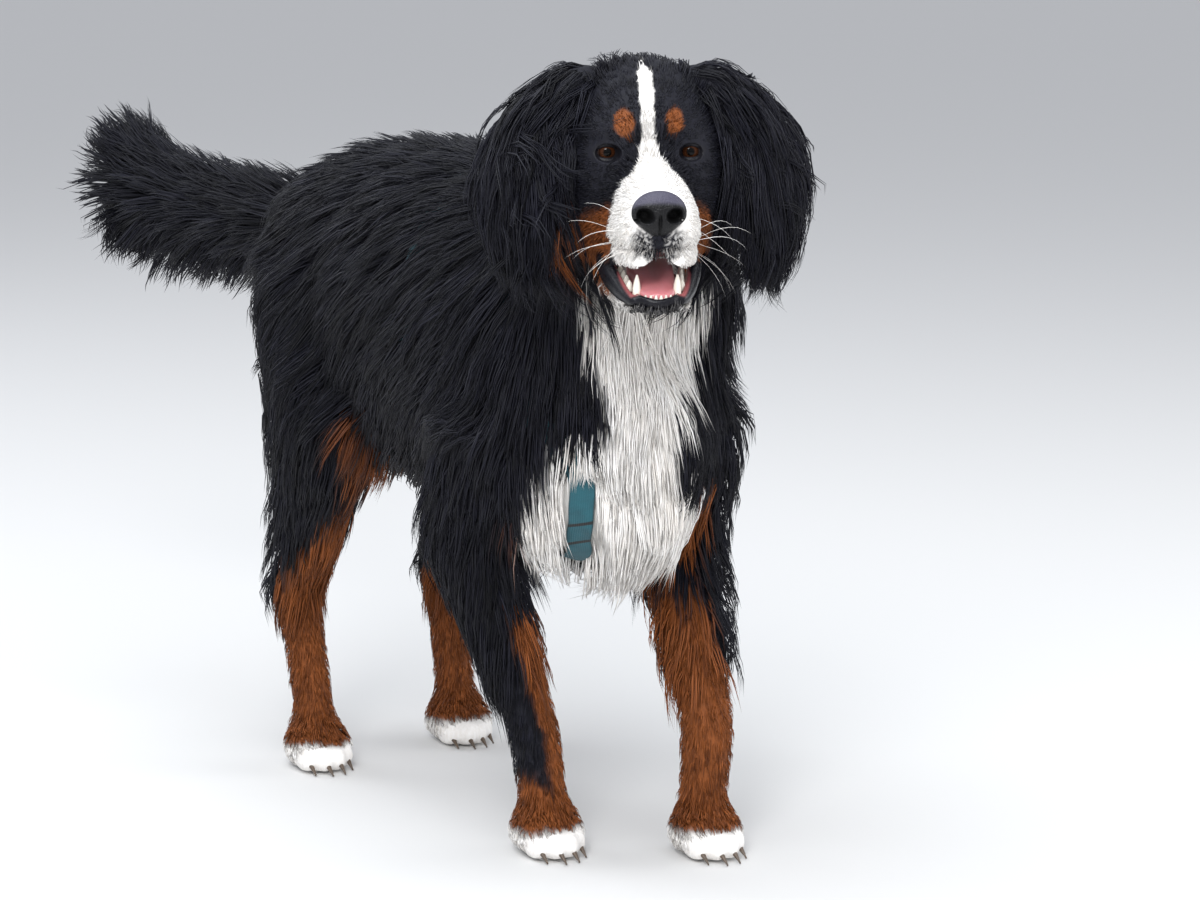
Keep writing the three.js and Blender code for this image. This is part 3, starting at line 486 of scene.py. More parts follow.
def hindleg_form(stance, swell=0):
    hip, stifle, hock, foot = (stance[name] for name in HIND_JOINTS)
    keys = [
        ring(hip, 44, 68, 76),
        ring(mixed(hip, stifle, 0.5), 49, 86, 80),
        ring(stifle, 45, 108, 54),
        ring(mixed(stifle, hock, 0.45), 35, 64, 44),
        ring(mixed(stifle, hock, 0.85), 27, 36, 34),
        ring(hock, 25, 29, 28),
        ring(mixed(hock, foot, 0.5), 23, 24),
        ring(foot, 23, 23, 25),
        ring((foot[0], foot[1] - 6, 26), 22, 22, 24),
    ]
    return Form(keys, along=DOWN, swell=swell)


def paw_form(foot, swell=0):
    x, y = foot[:2]
    keys = [
        ring((x, y - 32, 18), 24, 14, 18),
        ring((x, y - 20, 22), 33, 24, 22),
        ring((x, y + 8, 24), 31, 26, 24),
        ring((x, y + 28, 20), 22, 14, 20),
    ]
    return Form(keys, swell=swell)


def toe_line(foot, place):
    """How far to the side a toe is, and how far forward. The two middle toes reach further."""
    return foot[0] + place * 15, foot[1] - 46 + (12 if abs(place) < 1 else 24)


def toe_forms(foot):
    toes = []
    for place in TOE_PLACES:
        x, front = toe_line(foot, place)
        keys = []
        for turn in np.linspace(0.25, 2.9, 7):
            size = math.sin(turn)
            keys.append(ring((x, front - 18 * math.cos(turn), 14.5), 10 * size, 15 * size, 14 * size))
        toes.append(Form(keys))
    return toes


def tail_form(swell=0):
    def along(share, z):
        reach = TAIL_LENGTH * share
        return (-math.sin(TAIL_SWING) * reach, TAIL_ROOT_Y + math.cos(TAIL_SWING) * reach, z)

    keys = [
        ring(along(-0.02, 574), 34, 38, 40),
        ring(along(0.14, 580), 36, 38, 44),
        ring(along(0.36, 583), 36, 37, 46),
        ring(along(0.6, 591), 35, 37, 46),
        ring(along(0.8, 604), 33, 37, 44),
        ring(along(0.94, 622), 22, 27, 30),
    ]
    return Form(keys, swell=swell)


FORMS = {
    "torso": torso_form(-COAT_DEPTH),
    "brisket": brisket_form(-COAT_DEPTH),
    "neck": neck_form(4 - COAT_DEPTH),
    "tail": tail_form(-8),
    "skull": skull_form(-2),
    "muzzle": muzzle_form(-4.5),
    "jaw": jaw_form(-1),
    "lower_lip_left": lower_lip_form(1),
    "lower_lip_right": lower_lip_form(-1),
    "upper_lip_left": upper_lip_form(1),
    "upper_lip_right": upper_lip_form(-1),
    "chin_lip": chin_lip_form(),
    "ear_root_left": ear_root_form(1),
    "ear_root_right": ear_root_form(-1),
    "ear_left": ear_form(1, -2),
    "ear_right": ear_form(-1, -2),
}
for side in SIDES:
    FORMS[f"foreleg_{side}"] = foreleg_form(FORE_STANCE[side], -3)
    FORMS[f"hindleg_{side}"] = hindleg_form(HIND_STANCE[side], -4)
    FORMS[f"forepaw_{side}"] = paw_form(FORE_STANCE[side]["foot"])
    FORMS[f"hindpaw_{side}"] = paw_form(HIND_STANCE[side]["foot"])


# The field: how far any place stands over the skin, on a grid

CELL = 6.0
GRID_LOW = np.array([-260.0, -420.0, -24.0])
GRID_HIGH = np.array([260.0, 960.0, 900.0])


def blend(a, b, reach):
    """The smaller of two heights, with a rounded crease"""
    share = np.clip(0.5 + 0.5 * (b - a) / reach, 0, 1)
    return lerp(b, a, share) - reach * share * (1 - share)


class Field:
    """Heights over a group of forms, and the direction out of them"""

    def __init__(self, groups, low=GRID_LOW, high=GRID_HIGH, cell=CELL):
        self.low, self.cell = low, cell
        axes = [np.arange(low[k], high[k] + cell, cell) for k in range(3)]
        self.shape = np.array([len(axis) for axis in axes])
        points = np.stack(np.meshgrid(*axes, indexing="ij"), -1).reshape(-1, 3)
        total = None
        for names, reach in groups:
            for name in names:
                height = FORMS[name].height(points)
                total = height if total is None else blend(total, height, reach)
        self.values = total.reshape(self.shape)
        slopes = np.gradient(self.values, cell)
        self.slopes = np.stack(slopes, -1)

    def look(self, table, points):
        place = np.clip((points - self.low) / self.cell, 0, self.shape - 1.001)
        i = np.floor(place).astype(int)
        f = place - i
        result = 0
        for dx in (0, 1):
            for dy in (0, 1):
                for dz in (0, 1):
                    weight = (
                        (f[:, 0] if dx else 1 - f[:, 0])
                        * (f[:, 1] if dy else 1 - f[:, 1])
                        * (f[:, 2] if dz else 1 - f[:, 2])
                    )
                    value = table[i[:, 0] + dx, i[:, 1] + dy, i[:, 2] + dz]
                    result = result + (weight[:, None] * value if value.ndim > 1 else weight * value)
        return result

    def height(self, points):
        return self.look(self.values, points)

    def out(self, points):
        return unit(self.look(self.slopes, points))

    def settle(self, points, height=0.0, rounds=3):
        """Points moved straight out or in to a height over the skin"""
        for _ in range(rounds):
            points = points - self.out(points) * (self.height(points) - height)[:, None]
        return points


leg_names = [name for name in FORMS if "leg" in name or "paw" in name]
body_names = ["torso", "brisket", "neck", "tail"]
head_names = ["skull", "muzzle", "jaw"]
lip_names = [name for name in FORMS if "lip" in name]
ear_names = ["ear_root_left", "ear_root_right", "ear_left", "ear_right"]
FIELD = Field([(body_names, 34), (leg_names, 22), (head_names, 16), (ear_names, 14)])
HEAD_REACH = np.array([200.0, 190.0, 190.0])
HEAD_FIELD = Field(
    [(head_names, 14), (lip_names, 5), (ear_names, 12), (body_names, 24)],
    EYE_CENTRE - HEAD_REACH, EYE_CENTRE + HEAD_REACH, 3.0,
)


# Markings: shares of white and rust at places of the coat, shared by the skin and every lock

def wobble(points, size, seed):
    """A smooth random value about 0, made of a few waves"""
    rng = np.random.default_rng(seed)
    total = 0
    for _ in range(5):
        direction = unit(rng.normal(size=3)) / size * rng.uniform(0.7, 1.8)
        total = total + np.sin(points @ direction * 2 * math.pi + rng.uniform(0, 6.3))
    return total / 5


def oval(points, centre, halves):
    """1 in the middle of an oval, 0 at its edge and less past it"""
    return 1 - np.linalg.norm((points - np.asarray(centre)) / np.asarray(halves), axis=1)


BLAZE = {  # half widths of the white, by height in the face
    "height": (-122, -114, -98, -86, -62, -42, -31, -22, -9, 8, 27, 51, 76, 84),
    "half": (-12, 18, 27, 35, 39, 35, 28, 18, 11, 7, 5.6, 6.6, 7, 0),
}
SNOUT = {  # where the white of the muzzle ends towards the cheek, by height
    "height": (-110, -98, -84, -70, -50, -32, -17, -8),
    "end": (-74, -68, -56, -42, -48, -57, -52, -62),
}
BROWS = (  # middles and half sizes of the two rust spots over the eyes
    ((-23.5, -14, 27.5), (9.6, 34, 12.5)),
    ((23.5, -14, 29), (8.8, 34, 11)),
)


def head_marks(points):
    """White and rust on the head, from places in the dog's frame"""
    p = to_head(points)
    x, y, z = p.T
    ragged = 1.6 * wobble(points, 16, 5) + 0.8 * wobble(points, 6, 6)
    level_in_face = z + 0.18 * y
    half = np.interp(level_in_face, BLAZE["height"], BLAZE["half"])
    blaze_middle = -1.6 * step(level_in_face, -20, 10)
    white = step(half - np.abs(x - blaze_middle) + ragged, -1.2, 1.2) * step(66 - y, 0, 8)
    snout_end = np.interp(z, SNOUT["height"], SNOUT["end"])
    snout = step(snout_end - y + 1.5 * ragged, -3, 3) * step(-14 - z, -3, 3) * step(z, -114, -106)
    white = np.maximum(white, snout)
    speckled = step(oval(p, (NOSE_AT[0], -108, -73), (27, 26, 19)) * 10 + 1.2 * ragged, -2, 3)
    flecks = step(wobble(points, 2.6, 9) + 0.5 * wobble(points, 1.7, 10), -0.35, 0.1)
    under_nose = step(11 - np.abs(x - NOSE_AT[0]) - 0.3 * (-64 - z), -2, 4)
    white = white * (1 - speckled * np.maximum(under_nose, 0.5 + 0.5 * flecks))
    brows = np.zeros(len(p))
    for centre, halves in BROWS:
        brows = np.maximum(brows, step(oval(p, centre, halves) * 12 + ragged, -1.5, 2.5))
    low = step(-52 - z - 0.12 * y - 0.6 * np.maximum(np.abs(x) - 44, 0) + 3 * ragged, -8, 8)
    near = step(np.abs(x) - 26, 0, 6) * step(lerp(84, 60, x > 0) - np.abs(x) + ragged, -4, 4)
    start = np.interp(z, [-112, -84], [-18, -62])
    cheeks = low * near * step(y - start, 0, 12) * step(76 - y + ragged, -8, 8)
    throat = step(-136 - z + 0.06 * (y + 60) + 1.5 * ragged, -4, 4) * step(60 - np.abs(x), -4, 4)
    throat = np.maximum(throat, step(-124 - z, -4, 4) * step(30 - np.abs(x), -4, 4))
    chin = step(y + 62 + ragged, -5, 5)
    white = np.maximum(white, throat * np.maximum(chin, 0.12 * flecks))
    return white, np.maximum(brows, cheeks)


CHEST = {  # where the white ends to the dog's left and right, by height
    "height": (272, 290, 305, 330, 361, 378, 400, 428, 440, 462, 500, 528, 580, 640),
    "left": (10, 50, 70, 86, 80, 52, 18, 12, 14, 30, 40, 68, 76, 78),
    "right": (-10, -55, -78, -96, -101, -101, -98, -88, -60, -48, -49, -58, -73, -80),
}
LEG_LEVELS = {
    "shoulder": 450, "elbow": 318, "carpus": 128, "foot": 52,
    "hip": 560, "stifle": 372, "hock": 192,
}


def leg_middle(stance, z, axis):
    """Where a leg's middle is at heights, on one axis"""
    names = sorted(stance, key=LEG_LEVELS.get)
    return np.interp(z, [LEG_LEVELS[name] for name in names], [stance[name][axis] for name in names])


def from_leg(stance, sign, points):
    """How far points are inward and ahead of a leg's middle"""
    x, y, z = points.T
    return sign * (leg_middle(stance, z, 0) - x), leg_middle(stance, z, 1) - y


def leg_rust(points, ragged):
    """The rust of the legs: on the front and inner sides, and all round below"""
    x, y, z = points.T
    rust = np.zeros(len(points))
    for side, sign in SIDES.items():
        mine = step(sign * x, -10, 4)
        inward, ahead = from_leg(FORE_STANCE[side], sign, points)
        black_down_to = 172 if side == "left" else 74
        low = step(black_down_to - z + 2 * ragged, -12, 12)
        edge = np.interp(z, [165, 205, 255], [-24, 2, 14]) if side == "left" else 6
        inner = step(inward + 0.35 * ahead + ragged - edge, -5, 5)
        upper = step((258 if side == "left" else 236) - z + 1.5 * ragged, -10, 10)
        fore = np.maximum(low, inner * upper) * step(180 - y, 0, 20)
        back_edge = step(-ahead - 22 + ragged, -5, 5) * step(z, 110, 140)
        rust = np.maximum(rust, mine * fore * (1 - back_edge))
        inward, ahead = from_leg(HIND_STANCE[side], sign, points)
        low = step(212 - z + 1.5 * ragged, -14, 14)
        front = step(ahead - lerp(8, 58, step(z, 200, 330)) + 0.3 * inward + ragged, -6, 6)
        front = front * step(398 - z + ragged, -16, 10)
        back_edge = step(-ahead - 9 + 0.7 * ragged, -4, 4) * step(z, 70, 100)
        hind = np.maximum(low, front) * (1 - back_edge) * step(y, 244, 268)
        rust = np.maximum(rust, mine * hind)
    return rust


def body_marks(points):
    """White and rust on the neck, chest, legs and tail"""
    x, y, z = points.T
    ragged = 5 * wobble(points, 60, 7) + 3 * wobble(points, 22, 8)
    front = step(-y - lerp(26, 52, step(z, 320, 420)), -8, 12)
    left = np.interp(z, CHEST["height"], CHEST["left"])
    right = np.interp(z, CHEST["height"], CHEST["right"])
    inset = np.minimum(left - x, x - right)
    white = step(inset + 0.7 * ragged, -4, 4) * front * step(z, 262, 276)
    ahead = step(-y - lerp(48, 36, x > 0), -8, 8)
    span = step(lerp(344, 384, x > 0) - z, 0, 26) * step(z - lerp(258, 284, x > 0), 0, 16)
    fringe = step(inset + 34 + ragged, -5, 5) * span * ahead
    toes = step(29 + 0.8 * ragged - z, -4, 4)
    white = np.maximum(white, toes)
    rust = np.maximum(leg_rust(points, ragged), fringe)
    return white, rust * (1 - toes)


NECK_LINE = {"height": (500, 572, 642, 706, 748), "middle": (-4, -40, -74, -98, -108)}


def marks(points):
    """White and rust shares, with the head's ending in the ruff of the neck"""
    head_white, head_rust = head_marks(points)
    body_white, body_rust = body_marks(points)
    p = to_head(points)
    over_throat = step(p[:, 2], -156, -146)
    on_head = step(104 - p[:, 1], 0, 20) * over_throat
    neck_middle = np.interp(points[:, 2], NECK_LINE["height"], NECK_LINE["middle"])
    behind_neck = step(points[:, 2], 430, 520) * step(points[:, 1] - neck_middle, -34, -14)
    nape = np.maximum(over_throat, behind_neck)
    white = lerp(body_white * (1 - nape), head_white, on_head)
    rust = lerp(body_rust, head_rust, on_head)
    return white, rust * (1 - white)


# Shader values

class Value:
    """A shader socket. Sums on it add Math nodes."""

    def __init__(self, finish, socket):
        self.finish, self.socket = finish, socket

    def math(self, operation, *others, clamp=False):
        settings = {"operation": operation, "use_clamp": clamp}
        return self.finish.node("ShaderNodeMath", settings, dict(enumerate((self, *others))))["Value"]

    def __add__(self, other):
        return self.math("ADD", other)

    def __mul__(self, other):
        return self.math("MULTIPLY", other)

    def __sub__(self, other):
        return self.math("SUBTRACT", other)

    def __pow__(self, other):
        return self.math("POWER", other)

    def __rsub__(self, other):
        return (self * -1) + other

    def clamped(self):
        return self.math("ADD", 0, clamp=True)

    def over(self, low, high):
        """0 below low, 1 above high"""
        return self.math("SUBTRACT", low).math("DIVIDE", high - low, clamp=True)


class Finish:
    """One material, and the way its nodes are added"""

    def __init__(self, name):
        self.material = bpy.data.materials.new(name)
        self.material.use_nodes = True
        self.nodes = self.material.node_tree.nodes
        self.links = self.material.node_tree.links
        self.nodes.clear()

    def node(self, kind, settings=None, inputs=None):
        """Adds a node with its settings and sockets, and gives its outputs by name"""
        node = self.nodes.new(kind)
        for name, value in (settings or {}).items():
            setattr(node, name, value)
        for name, value in (inputs or {}).items():
            if isinstance(value, Value):
                self.links.new(value.socket, node.inputs[name])
            else:
                node.inputs[name].default_value = value
        return {output.name: Value(self, output) for output in node.outputs if output.enabled}

    def mix(self, share, first, second):
        """A colour between two colours"""
        def colour(value):
            return value if isinstance(value, Value) else (*value, 1)

        sockets = {0: share, 6: colour(first), 7: colour(second)}
        return self.node("ShaderNodeMix", {"data_type": "RGBA"}, sockets)["Result"]

    def noise(self, where, scale, detail=2.0, roughness=0.5):
        inputs = {"Vector": where, "Scale": scale, "Detail": detail, "Roughness": roughness}
        return self.node("ShaderNodeTexNoise", {}, inputs)["Fac"]

    def cells(self, where, scale):
        return self.node("ShaderNodeTexVoronoi", {}, {"Vector": where, "Scale": scale})["Distance"]

    def vector(self, **axes):
        return self.node("ShaderNodeCombineXYZ", {}, axes)["Vector"]

    def axes(self, vector):
        parts = self.node("ShaderNodeSeparateXYZ", {}, {"Vector": vector})
        return parts["X"], parts["Y"], parts["Z"]

    def stretched(self, where, scale):
        settings = {"operation": "MULTIPLY"}
        return self.node("ShaderNodeVectorMath", settings, {0: where, 1: scale})["Vector"]

    def place(self):
        return self.node("ShaderNodeTexCoord")["Object"]

    def bump(self, height, strength, distance):
        inputs = {"Height": height, "Strength": strength, "Distance": distance}
        return self.node("ShaderNodeBump", {}, inputs)["Normal"]

    def attribute(self, name):
        """The three numbers kept on the mesh under a name"""
        return self.axes(self.node("ShaderNodeAttribute", {"attribute_name": name})["Vector"])

    def done(self, **inputs):
        """Ends the material in one Principled surface"""
        sockets = {name.replace("_", " "): value for name, value in inputs.items()}
        shader = self.node("ShaderNodeBsdfPrincipled", {}, sockets)["BSDF"]
        self.node("ShaderNodeOutputMaterial", {}, {"Surface": shader})
        return self.material


def coat_colours(finish, white, rust, tone):
    """The coat's colour from its marks, with a little difference from lock to lock"""
    black = finish.mix(tone, (0.0022, 0.0022, 0.0036), (0.0086, 0.0088, 0.017))
    brown = finish.mix(tone, (0.1, 0.026, 0.006), (0.32, 0.095, 0.022))
    cream = finish.mix(tone, (0.76, 0.715, 0.66), (0.95, 0.94, 0.93))
    return finish.mix(white, finish.mix(rust, black, brown), cream)


def coat_finish():
    finish = Finish("coat hair")
    white, rust, tone = finish.attribute("marks")
    across, along, pick = finish.attribute("hair")
    lines = finish.vector(X=across * 4.0, Y=along * 1.6, Z=pick * 40.0)
    streak = finish.noise(lines, 1.0, 1.0)
    colour = coat_colours(finish, white, rust, (tone + (streak - 0.5) * 0.5).clamped())
    rough = streak * 0.12 + 0.48 + white * 0.1
    normal = finish.bump(streak, 0.22, 0.0008)
    return finish.done(Base_Color=colour, Roughness=rough, Normal=normal, Specular_IOR_Level=0.26)


def skin_finish():
    finish = Finish("short fur and skin")
    white, rust, bare = finish.attribute("marks")
    pink, wet, _ = finish.attribute("flesh")
    place = finish.place()
    lie = finish.noise(finish.stretched(place, (420, 420, 120)), 1.0, 3.0)
    fur = coat_colours(finish, white, rust, lie)
    leather = finish.mix(lie, (0.003, 0.003, 0.004), (0.012, 0.0115, 0.016))
    gum = finish.mix(finish.noise(place, 70, 2.0), (0.2, 0.045, 0.05), (0.42, 0.13, 0.13))
    colour = finish.mix(pink, finish.mix(bare, fur, leather), gum)
    pores = finish.noise(place, 900, 2.0)
    height = lie * (1 - bare) + pores * bare * 0.4
    rough = 0.66 - bare * 0.2 - wet * 0.26
    normal = finish.bump(height, 0.5, 0.0014)
    return finish.done(Base_Color=colour, Roughness=rough, Normal=normal, Specular_IOR_Level=0.24)


# Meshes from arrays

def set_smooth(mesh):
    mesh.polygons.foreach_set("use_smooth", np.full(len(mesh.polygons), True))


def add_object(name, mesh, material):
    set_smooth(mesh)
    mesh.materials.append(material)
    piece = bpy.data.objects.new(name, mesh)
    bpy.context.scene.collection.objects.link(piece)
    return piece


def mesh_of(name, points, faces):
    mesh = bpy.data.meshes.new(name)
    places = [tuple(point) for point in metres(points)]
    mesh.from_pydata(places, [], [tuple(int(v) for v in face) for face in faces])
    mesh.update()
    return mesh


def mesh_from_arrays(name, points, triangles, quads):
    """A mesh from arrays of triangles and quads"""
    mesh = bpy.data.meshes.new(name)
    mesh.vertices.add(len(points))
    mesh.vertices.foreach_set("co", metres(points).ravel())
    corners = np.concatenate([triangles.ravel(), quads.ravel()])
    totals = np.concatenate([np.full(len(triangles), 3), np.full(len(quads), 4)])
    mesh.loops.add(len(corners))
    mesh.loops.foreach_set("vertex_index", corners)
    mesh.polygons.add(len(totals))
    mesh.polygons.foreach_set("loop_start", np.concatenate([[0], np.cumsum(totals)[:-1]]))
    mesh.update(calc_edges=True)
    return mesh, corners


def keep_vectors(mesh, name, values):
    attribute = mesh.attributes.new(name, "FLOAT_VECTOR", "POINT")
    attribute.data.foreach_set("vector", np.asarray(values, np.float32).ravel())


def joined_shells(forms, rings=40, sides=40):
    points, faces, start = [], [], 0
    for form in forms:
        own, own_faces = form.shell(rings, sides)
        points.append(own)
        faces += [tuple(v + start for v in face) for face in own_faces]
        start += len(own)
    return np.concatenate(points), faces


def applied(piece):
    """The piece's mesh with its modifiers applied"""
    graph = bpy.context.evaluated_depsgraph_get()
    mesh = bpy.data.meshes.new_from_object(piece.evaluated_get(graph))
    piece.modifiers.clear()
    old = piece.data
    piece.data = mesh
    bpy.data.meshes.remove(old)
    return piece


def remeshed(name, forms, voxel):
    points, faces = joined_shells(forms)
    piece = add_object(name, mesh_of(name, points, faces), None)
    remesh = piece.modifiers.new("fused", "REMESH")
    remesh.mode = "VOXEL"
    remesh.voxel_size = voxel / 1000
    return applied(piece)


def combined(piece, other, operation):
    cut = piece.modifiers.new(operation.lower(), "BOOLEAN")
    cut.operation = operation
    cut.solver = "MANIFOLD"
    cut.object = other
    applied(piece)
    bpy.data.objects.remove(other)
    return piece


def points_of(mesh):
    co = np.zeros(len(mesh.vertices) * 3)
    mesh.vertices.foreach_get("co", co)
    return co.reshape(-1, 3) * 1000 - SHIFT


def set_points(mesh, points):
    mesh.vertices.foreach_set("co", metres(points).ravel())
    mesh.update()


def ball(at, halves):
    """An oval ball of rings, in the head's frame"""
    keys = []
    for turn in np.linspace(0.12, math.pi - 0.12, 9):
        size = math.sin(turn)
        place = (at[0], at[1] - halves[1] * math.cos(turn), at[2])
        keys.append(ring(place, halves[0] * size, halves[2] * size))
    return Form(keys, of_head=True)


# The skin: one closed surface over the whole body

SKIN_VOXEL = 5
MOUTH = mouth_form()
LOWER_RIM = ("lower_lip_left", "lower_lip_right", "chin_lip")


def build_head():
    """The head with its mouth hollow, jaw, lips, eye sockets and lids"""
    head = remeshed("head_skin", [FORMS[name] for name in head_names + ear_names], 2.2)
    hollow = remeshed("mouth_hollow", [MOUTH], 2.2)
    jaw_top = remeshed("jaw_again", [FORMS["jaw"]], 2.0)
    trough = remeshed("trough", [trough_form()], 2.0)
    lips = remeshed("lips", [FORMS[name] for name in lip_names], 1.8)
    combined(jaw_top, trough, "DIFFERENCE")
    combined(head, hollow, "DIFFERENCE")
    combined(head, jaw_top, "UNION")
    combined(head, lips, "UNION")
    for sign in (-1, 1):
        x, y, z = eye_at(sign)
        orbit = remeshed("orbit", [ball((x + sign, y - 21, z), (13.5, 16, 9))], 1.5)
        combined(head, orbit, "DIFFERENCE")
        lids = remeshed("lids", [lid_form(sign, 1), lid_form(sign, -1)], 1.2)
        combined(head, lids, "UNION")
    x, y, z = NOSE_AT
    socket = remeshed("nose_socket", [ball((x, y - 1, z), (22, 12.5, 17))], 1.5)
    return combined(head, socket, "DIFFERENCE")


def build_skin():
    toes = [toe for foot in FEET for toe in toe_forms(foot)]
    body = remeshed("skin", [FORMS[name] for name in body_names + leg_names] + toes, SKIN_VOXEL)
    combined(body, build_head(), "UNION")
    soften = body.modifiers.new("soft edges", "SMOOTH")
    soften.factor = 0.5
    soften.iterations = 3
    applied(body)
    points = points_of(body.data)
    p = to_head(points)
    free = step(p[:, 1], 60, 110)
    free = np.maximum(free, step(-150 - p[:, 2], 0, 20)) * step(points[:, 2], 46, 70)
    settled = FIELD.settle(points, rounds=2)
    near = step(26 - np.abs(FIELD.height(points)), 0, 6)
    points = lerp(points, settled, (free * near)[:, None])
    points[:, 2] = np.maximum(points[:, 2], 0)
    set_points(body.data, points)
    white, rust = marks(points)
    bare, pink = bare_skin(points)
    keep_vectors(body.data, "marks", np.stack([white * (1 - bare), rust * (1 - bare), bare], 1))
    wet = np.maximum(bare * step(-60 - p[:, 2], 0, 5), pink)
    keep_vectors(body.data, "flesh", np.stack([pink, wet, np.zeros(len(p))], 1))
    body.data.materials.clear()
    body.data.materials.append(skin_finish())
    set_smooth(body.data)
    return body


def outside_flews(p):
    """Whether places of the head's frame are outside the ring of the upper lips"""
    return np.hypot(p[:, 0], p[:, 1] + 60) > 43.5 - 9 * step(np.abs(p[:, 0]), 14, 30)


def bare_skin(points):
    """Shares of dark bare skin and of pink flesh, at the eyes, the lips and in the mouth"""
    p = to_head(points)
    inner = step(-MOUTH.height(points), -2.5, 0) * step(p[:, 2], -132, -129)
    inner = inner * (1 - outside_flews(p) * step(p[:, 2], -108, -104))
    bare = inner
    for name in LOWER_RIM:
        bare = np.maximum(bare, step(2.5 - FORMS[name].height(points), 0, 2))
    for sign in (-1, 1):
        lids = step(oval(p, eye_at(sign) + (0, -8, 0), (15, 15, 10.8)) * 12, 0, 2.5)
        bare = np.maximum(bare, lids)
    bare = np.maximum(bare, step(oval(p, NOSE_AT, (23.5, 16, 20.5)) * 10, 0, 1.5))
    x, y, z = p.T
    behind_lip = step(y + 87, 0, 3)
    roof = step(z + 96, 0, 8)
    speck = step(wobble(points, 9, 31) + 0.5 * wobble(points, 5, 32), -0.5, 0.1)
    lip_middle = np.interp(y, [-88, -76, -50, -20, 10], [20, 25.5, 33, 39, 42])
    inside_lip = step(lip_middle - np.abs(x), -1, 2) * step(y + 84, 0, 8) * step(z + 124, 0, 6) * bare
    gums = inner * (1 - roof * 0.8) * step(-z - 100, 0, 6) * behind_lip
    return bare, np.maximum(gums, inside_lip * speck * (1 - roof))


# The harness: paths of its two loops over the skin

GIRTH_Y = 105
STRAP_WIDTH = 25
STRAP_THICKNESS = 2.6
BAND_LIFT = 0.5
SHOWN_LIFT = 7


def over_skin(start, direction, lift):
    """Where rays from outside come down to a height over the skin"""
    direction = unit(direction)
    point = start + direction * 320
    for _ in range(70):
        over = FORMS["torso"].height(point)
        for name in ("brisket", "neck"):
            over = blend(over, FORMS[name].height(point), 34)
        point = point - direction * (0.8 * np.clip(over - lift, 0, 20))[:, None]
    return point + FIELD.out(point) * np.maximum(lift - FIELD.height(point), 0)[:, None]


def loop_path(rays, steps):
    """A closed path over the body. Each ray has its start, its direction and its height over the skin."""
    t = np.arange(steps) / steps
    closed = [*rays, rays[0]]

    def column(kind, axis):
        return between([ray[kind][axis] for ray in closed], t)

    start = np.stack([column(0, axis) for axis in range(3)], 1)
    direction = np.stack([column(1, axis) for axis in range(3)], 1)
    path = over_skin(start, direction, between([ray[2] for ray in closed], t))
    for _ in range(3):
        path = (np.roll(path, 1, 0) + path * 2 + np.roll(path, -1, 0)) / 4
    return path


def neck_rays():
    def half(sign, lift):
        partly = lerp(BAND_LIFT, lift, 0.4)
        return [
            ((0, -30, 570), (sign, -0.1, 0.25), BAND_LIFT),
            ((sign * 20, -30, 480), (sign * 0.8, -0.6, 0), BAND_LIFT),
            ((sign * 74, -10, 420), (0, -1, 0), partly),
            ((sign * 65, -10, 368), (0, -1, 0), lift),
            ((sign * 48, -30, 376), (0, -0.8, -0.6), lift),
            ((sign * 36, 0, 420), (0, 0, -1), BAND_LIFT),
        ]

    over_neck = ((0, -10, 560), (0, 0.1, 1), BAND_LIFT)
    behind = ((0, GIRTH_Y - STRAP_WIDTH * 1.6, 420), (0, 0, -1), BAND_LIFT)
    return [over_neck, *half(1, BAND_LIFT), behind, *half(-1, SHOWN_LIFT)[::-1]]


def girth_rays():
    turns = np.radians([90, 0, -90, 180])
    return [((0, GIRTH_Y, 510), (math.cos(turn), 0, math.sin(turn)), BAND_LIFT) for turn in turns]


NECK_PATH = loop_path(neck_rays(), 240)
SHOWN = NECK_PATH[(NECK_PATH[:, 0] < -30) & (NECK_PATH[:, 1] < -60) & (NECK_PATH[:, 2] < 430)]
SHOWN = SHOWN[np.argsort(SHOWN[:, 2])]


# Hair

# Where the rings of a strand are along it and how wide, by their number
HAIR_RINGS = {
    2: (0, 0.5),
    3: (0, 0.34, 0.72),
    4: (0, 0.26, 0.56, 0.82),
    7: (0, 0.14, 0.28, 0.42, 0.56, 0.7, 0.86),
}
HAIR_WIDTHS = {2: (0.8, 0.85), 3: (0.6, 1, 0.7), 4: (0.5, 1, 0.9, 0.6), 7: (1, 1, 1, 0.9, 0.8, 0.7, 0.5)}
COMB_STEPS = 10


def comb(roots, style, field):
    """Paths of locks from their roots along their lie, over the skin"""
    normal = field.out(roots)
    heading = unit(style["lie"] - normal * dot(style["lie"], normal))
    point = roots
    path = [point]
    length = style["length"][:, None] / COMB_STEPS
    for k in range(1, COMB_STEPS + 1):
        share = k / COMB_STEPS
        heading = unit(heading + DOWN * (style["droop"] * share)[:, None])
        point = point + heading * length
        rise = 1 - (1 - share) ** 2.2
        wanted = 0.6 + style["stand"] * rise + style["flick"] * share**3
        over = field.height(point)
        pull = np.where(over < wanted, 1.0, style["cling"])
        point = point + field.out(point) * ((wanted - over) * pull)[:, None]
        heading = unit(point - path[-1])
        path.append(point)
    path = np.stack(path, 1)
    ahead = unit(np.gradient(path, axis=1))
    out = field.out(path.reshape(-1, 3)).reshape(path.shape)
    across = unit(np.cross(ahead, out))
    share = np.linspace(0, 1, COMB_STEPS + 1)[None, :]
    turn = style["phase"][:, None] + 2 * math.pi * style["turns"][:, None] * share
    sway = style["wave"][:, None] * share * np.sin(turn)
    lift = 0.35 * style["wave"][:, None] * share * np.sin(turn * 0.9 + 1.3)
    return path + across * sway[..., None] + out * np.maximum(lift, -1)[..., None]


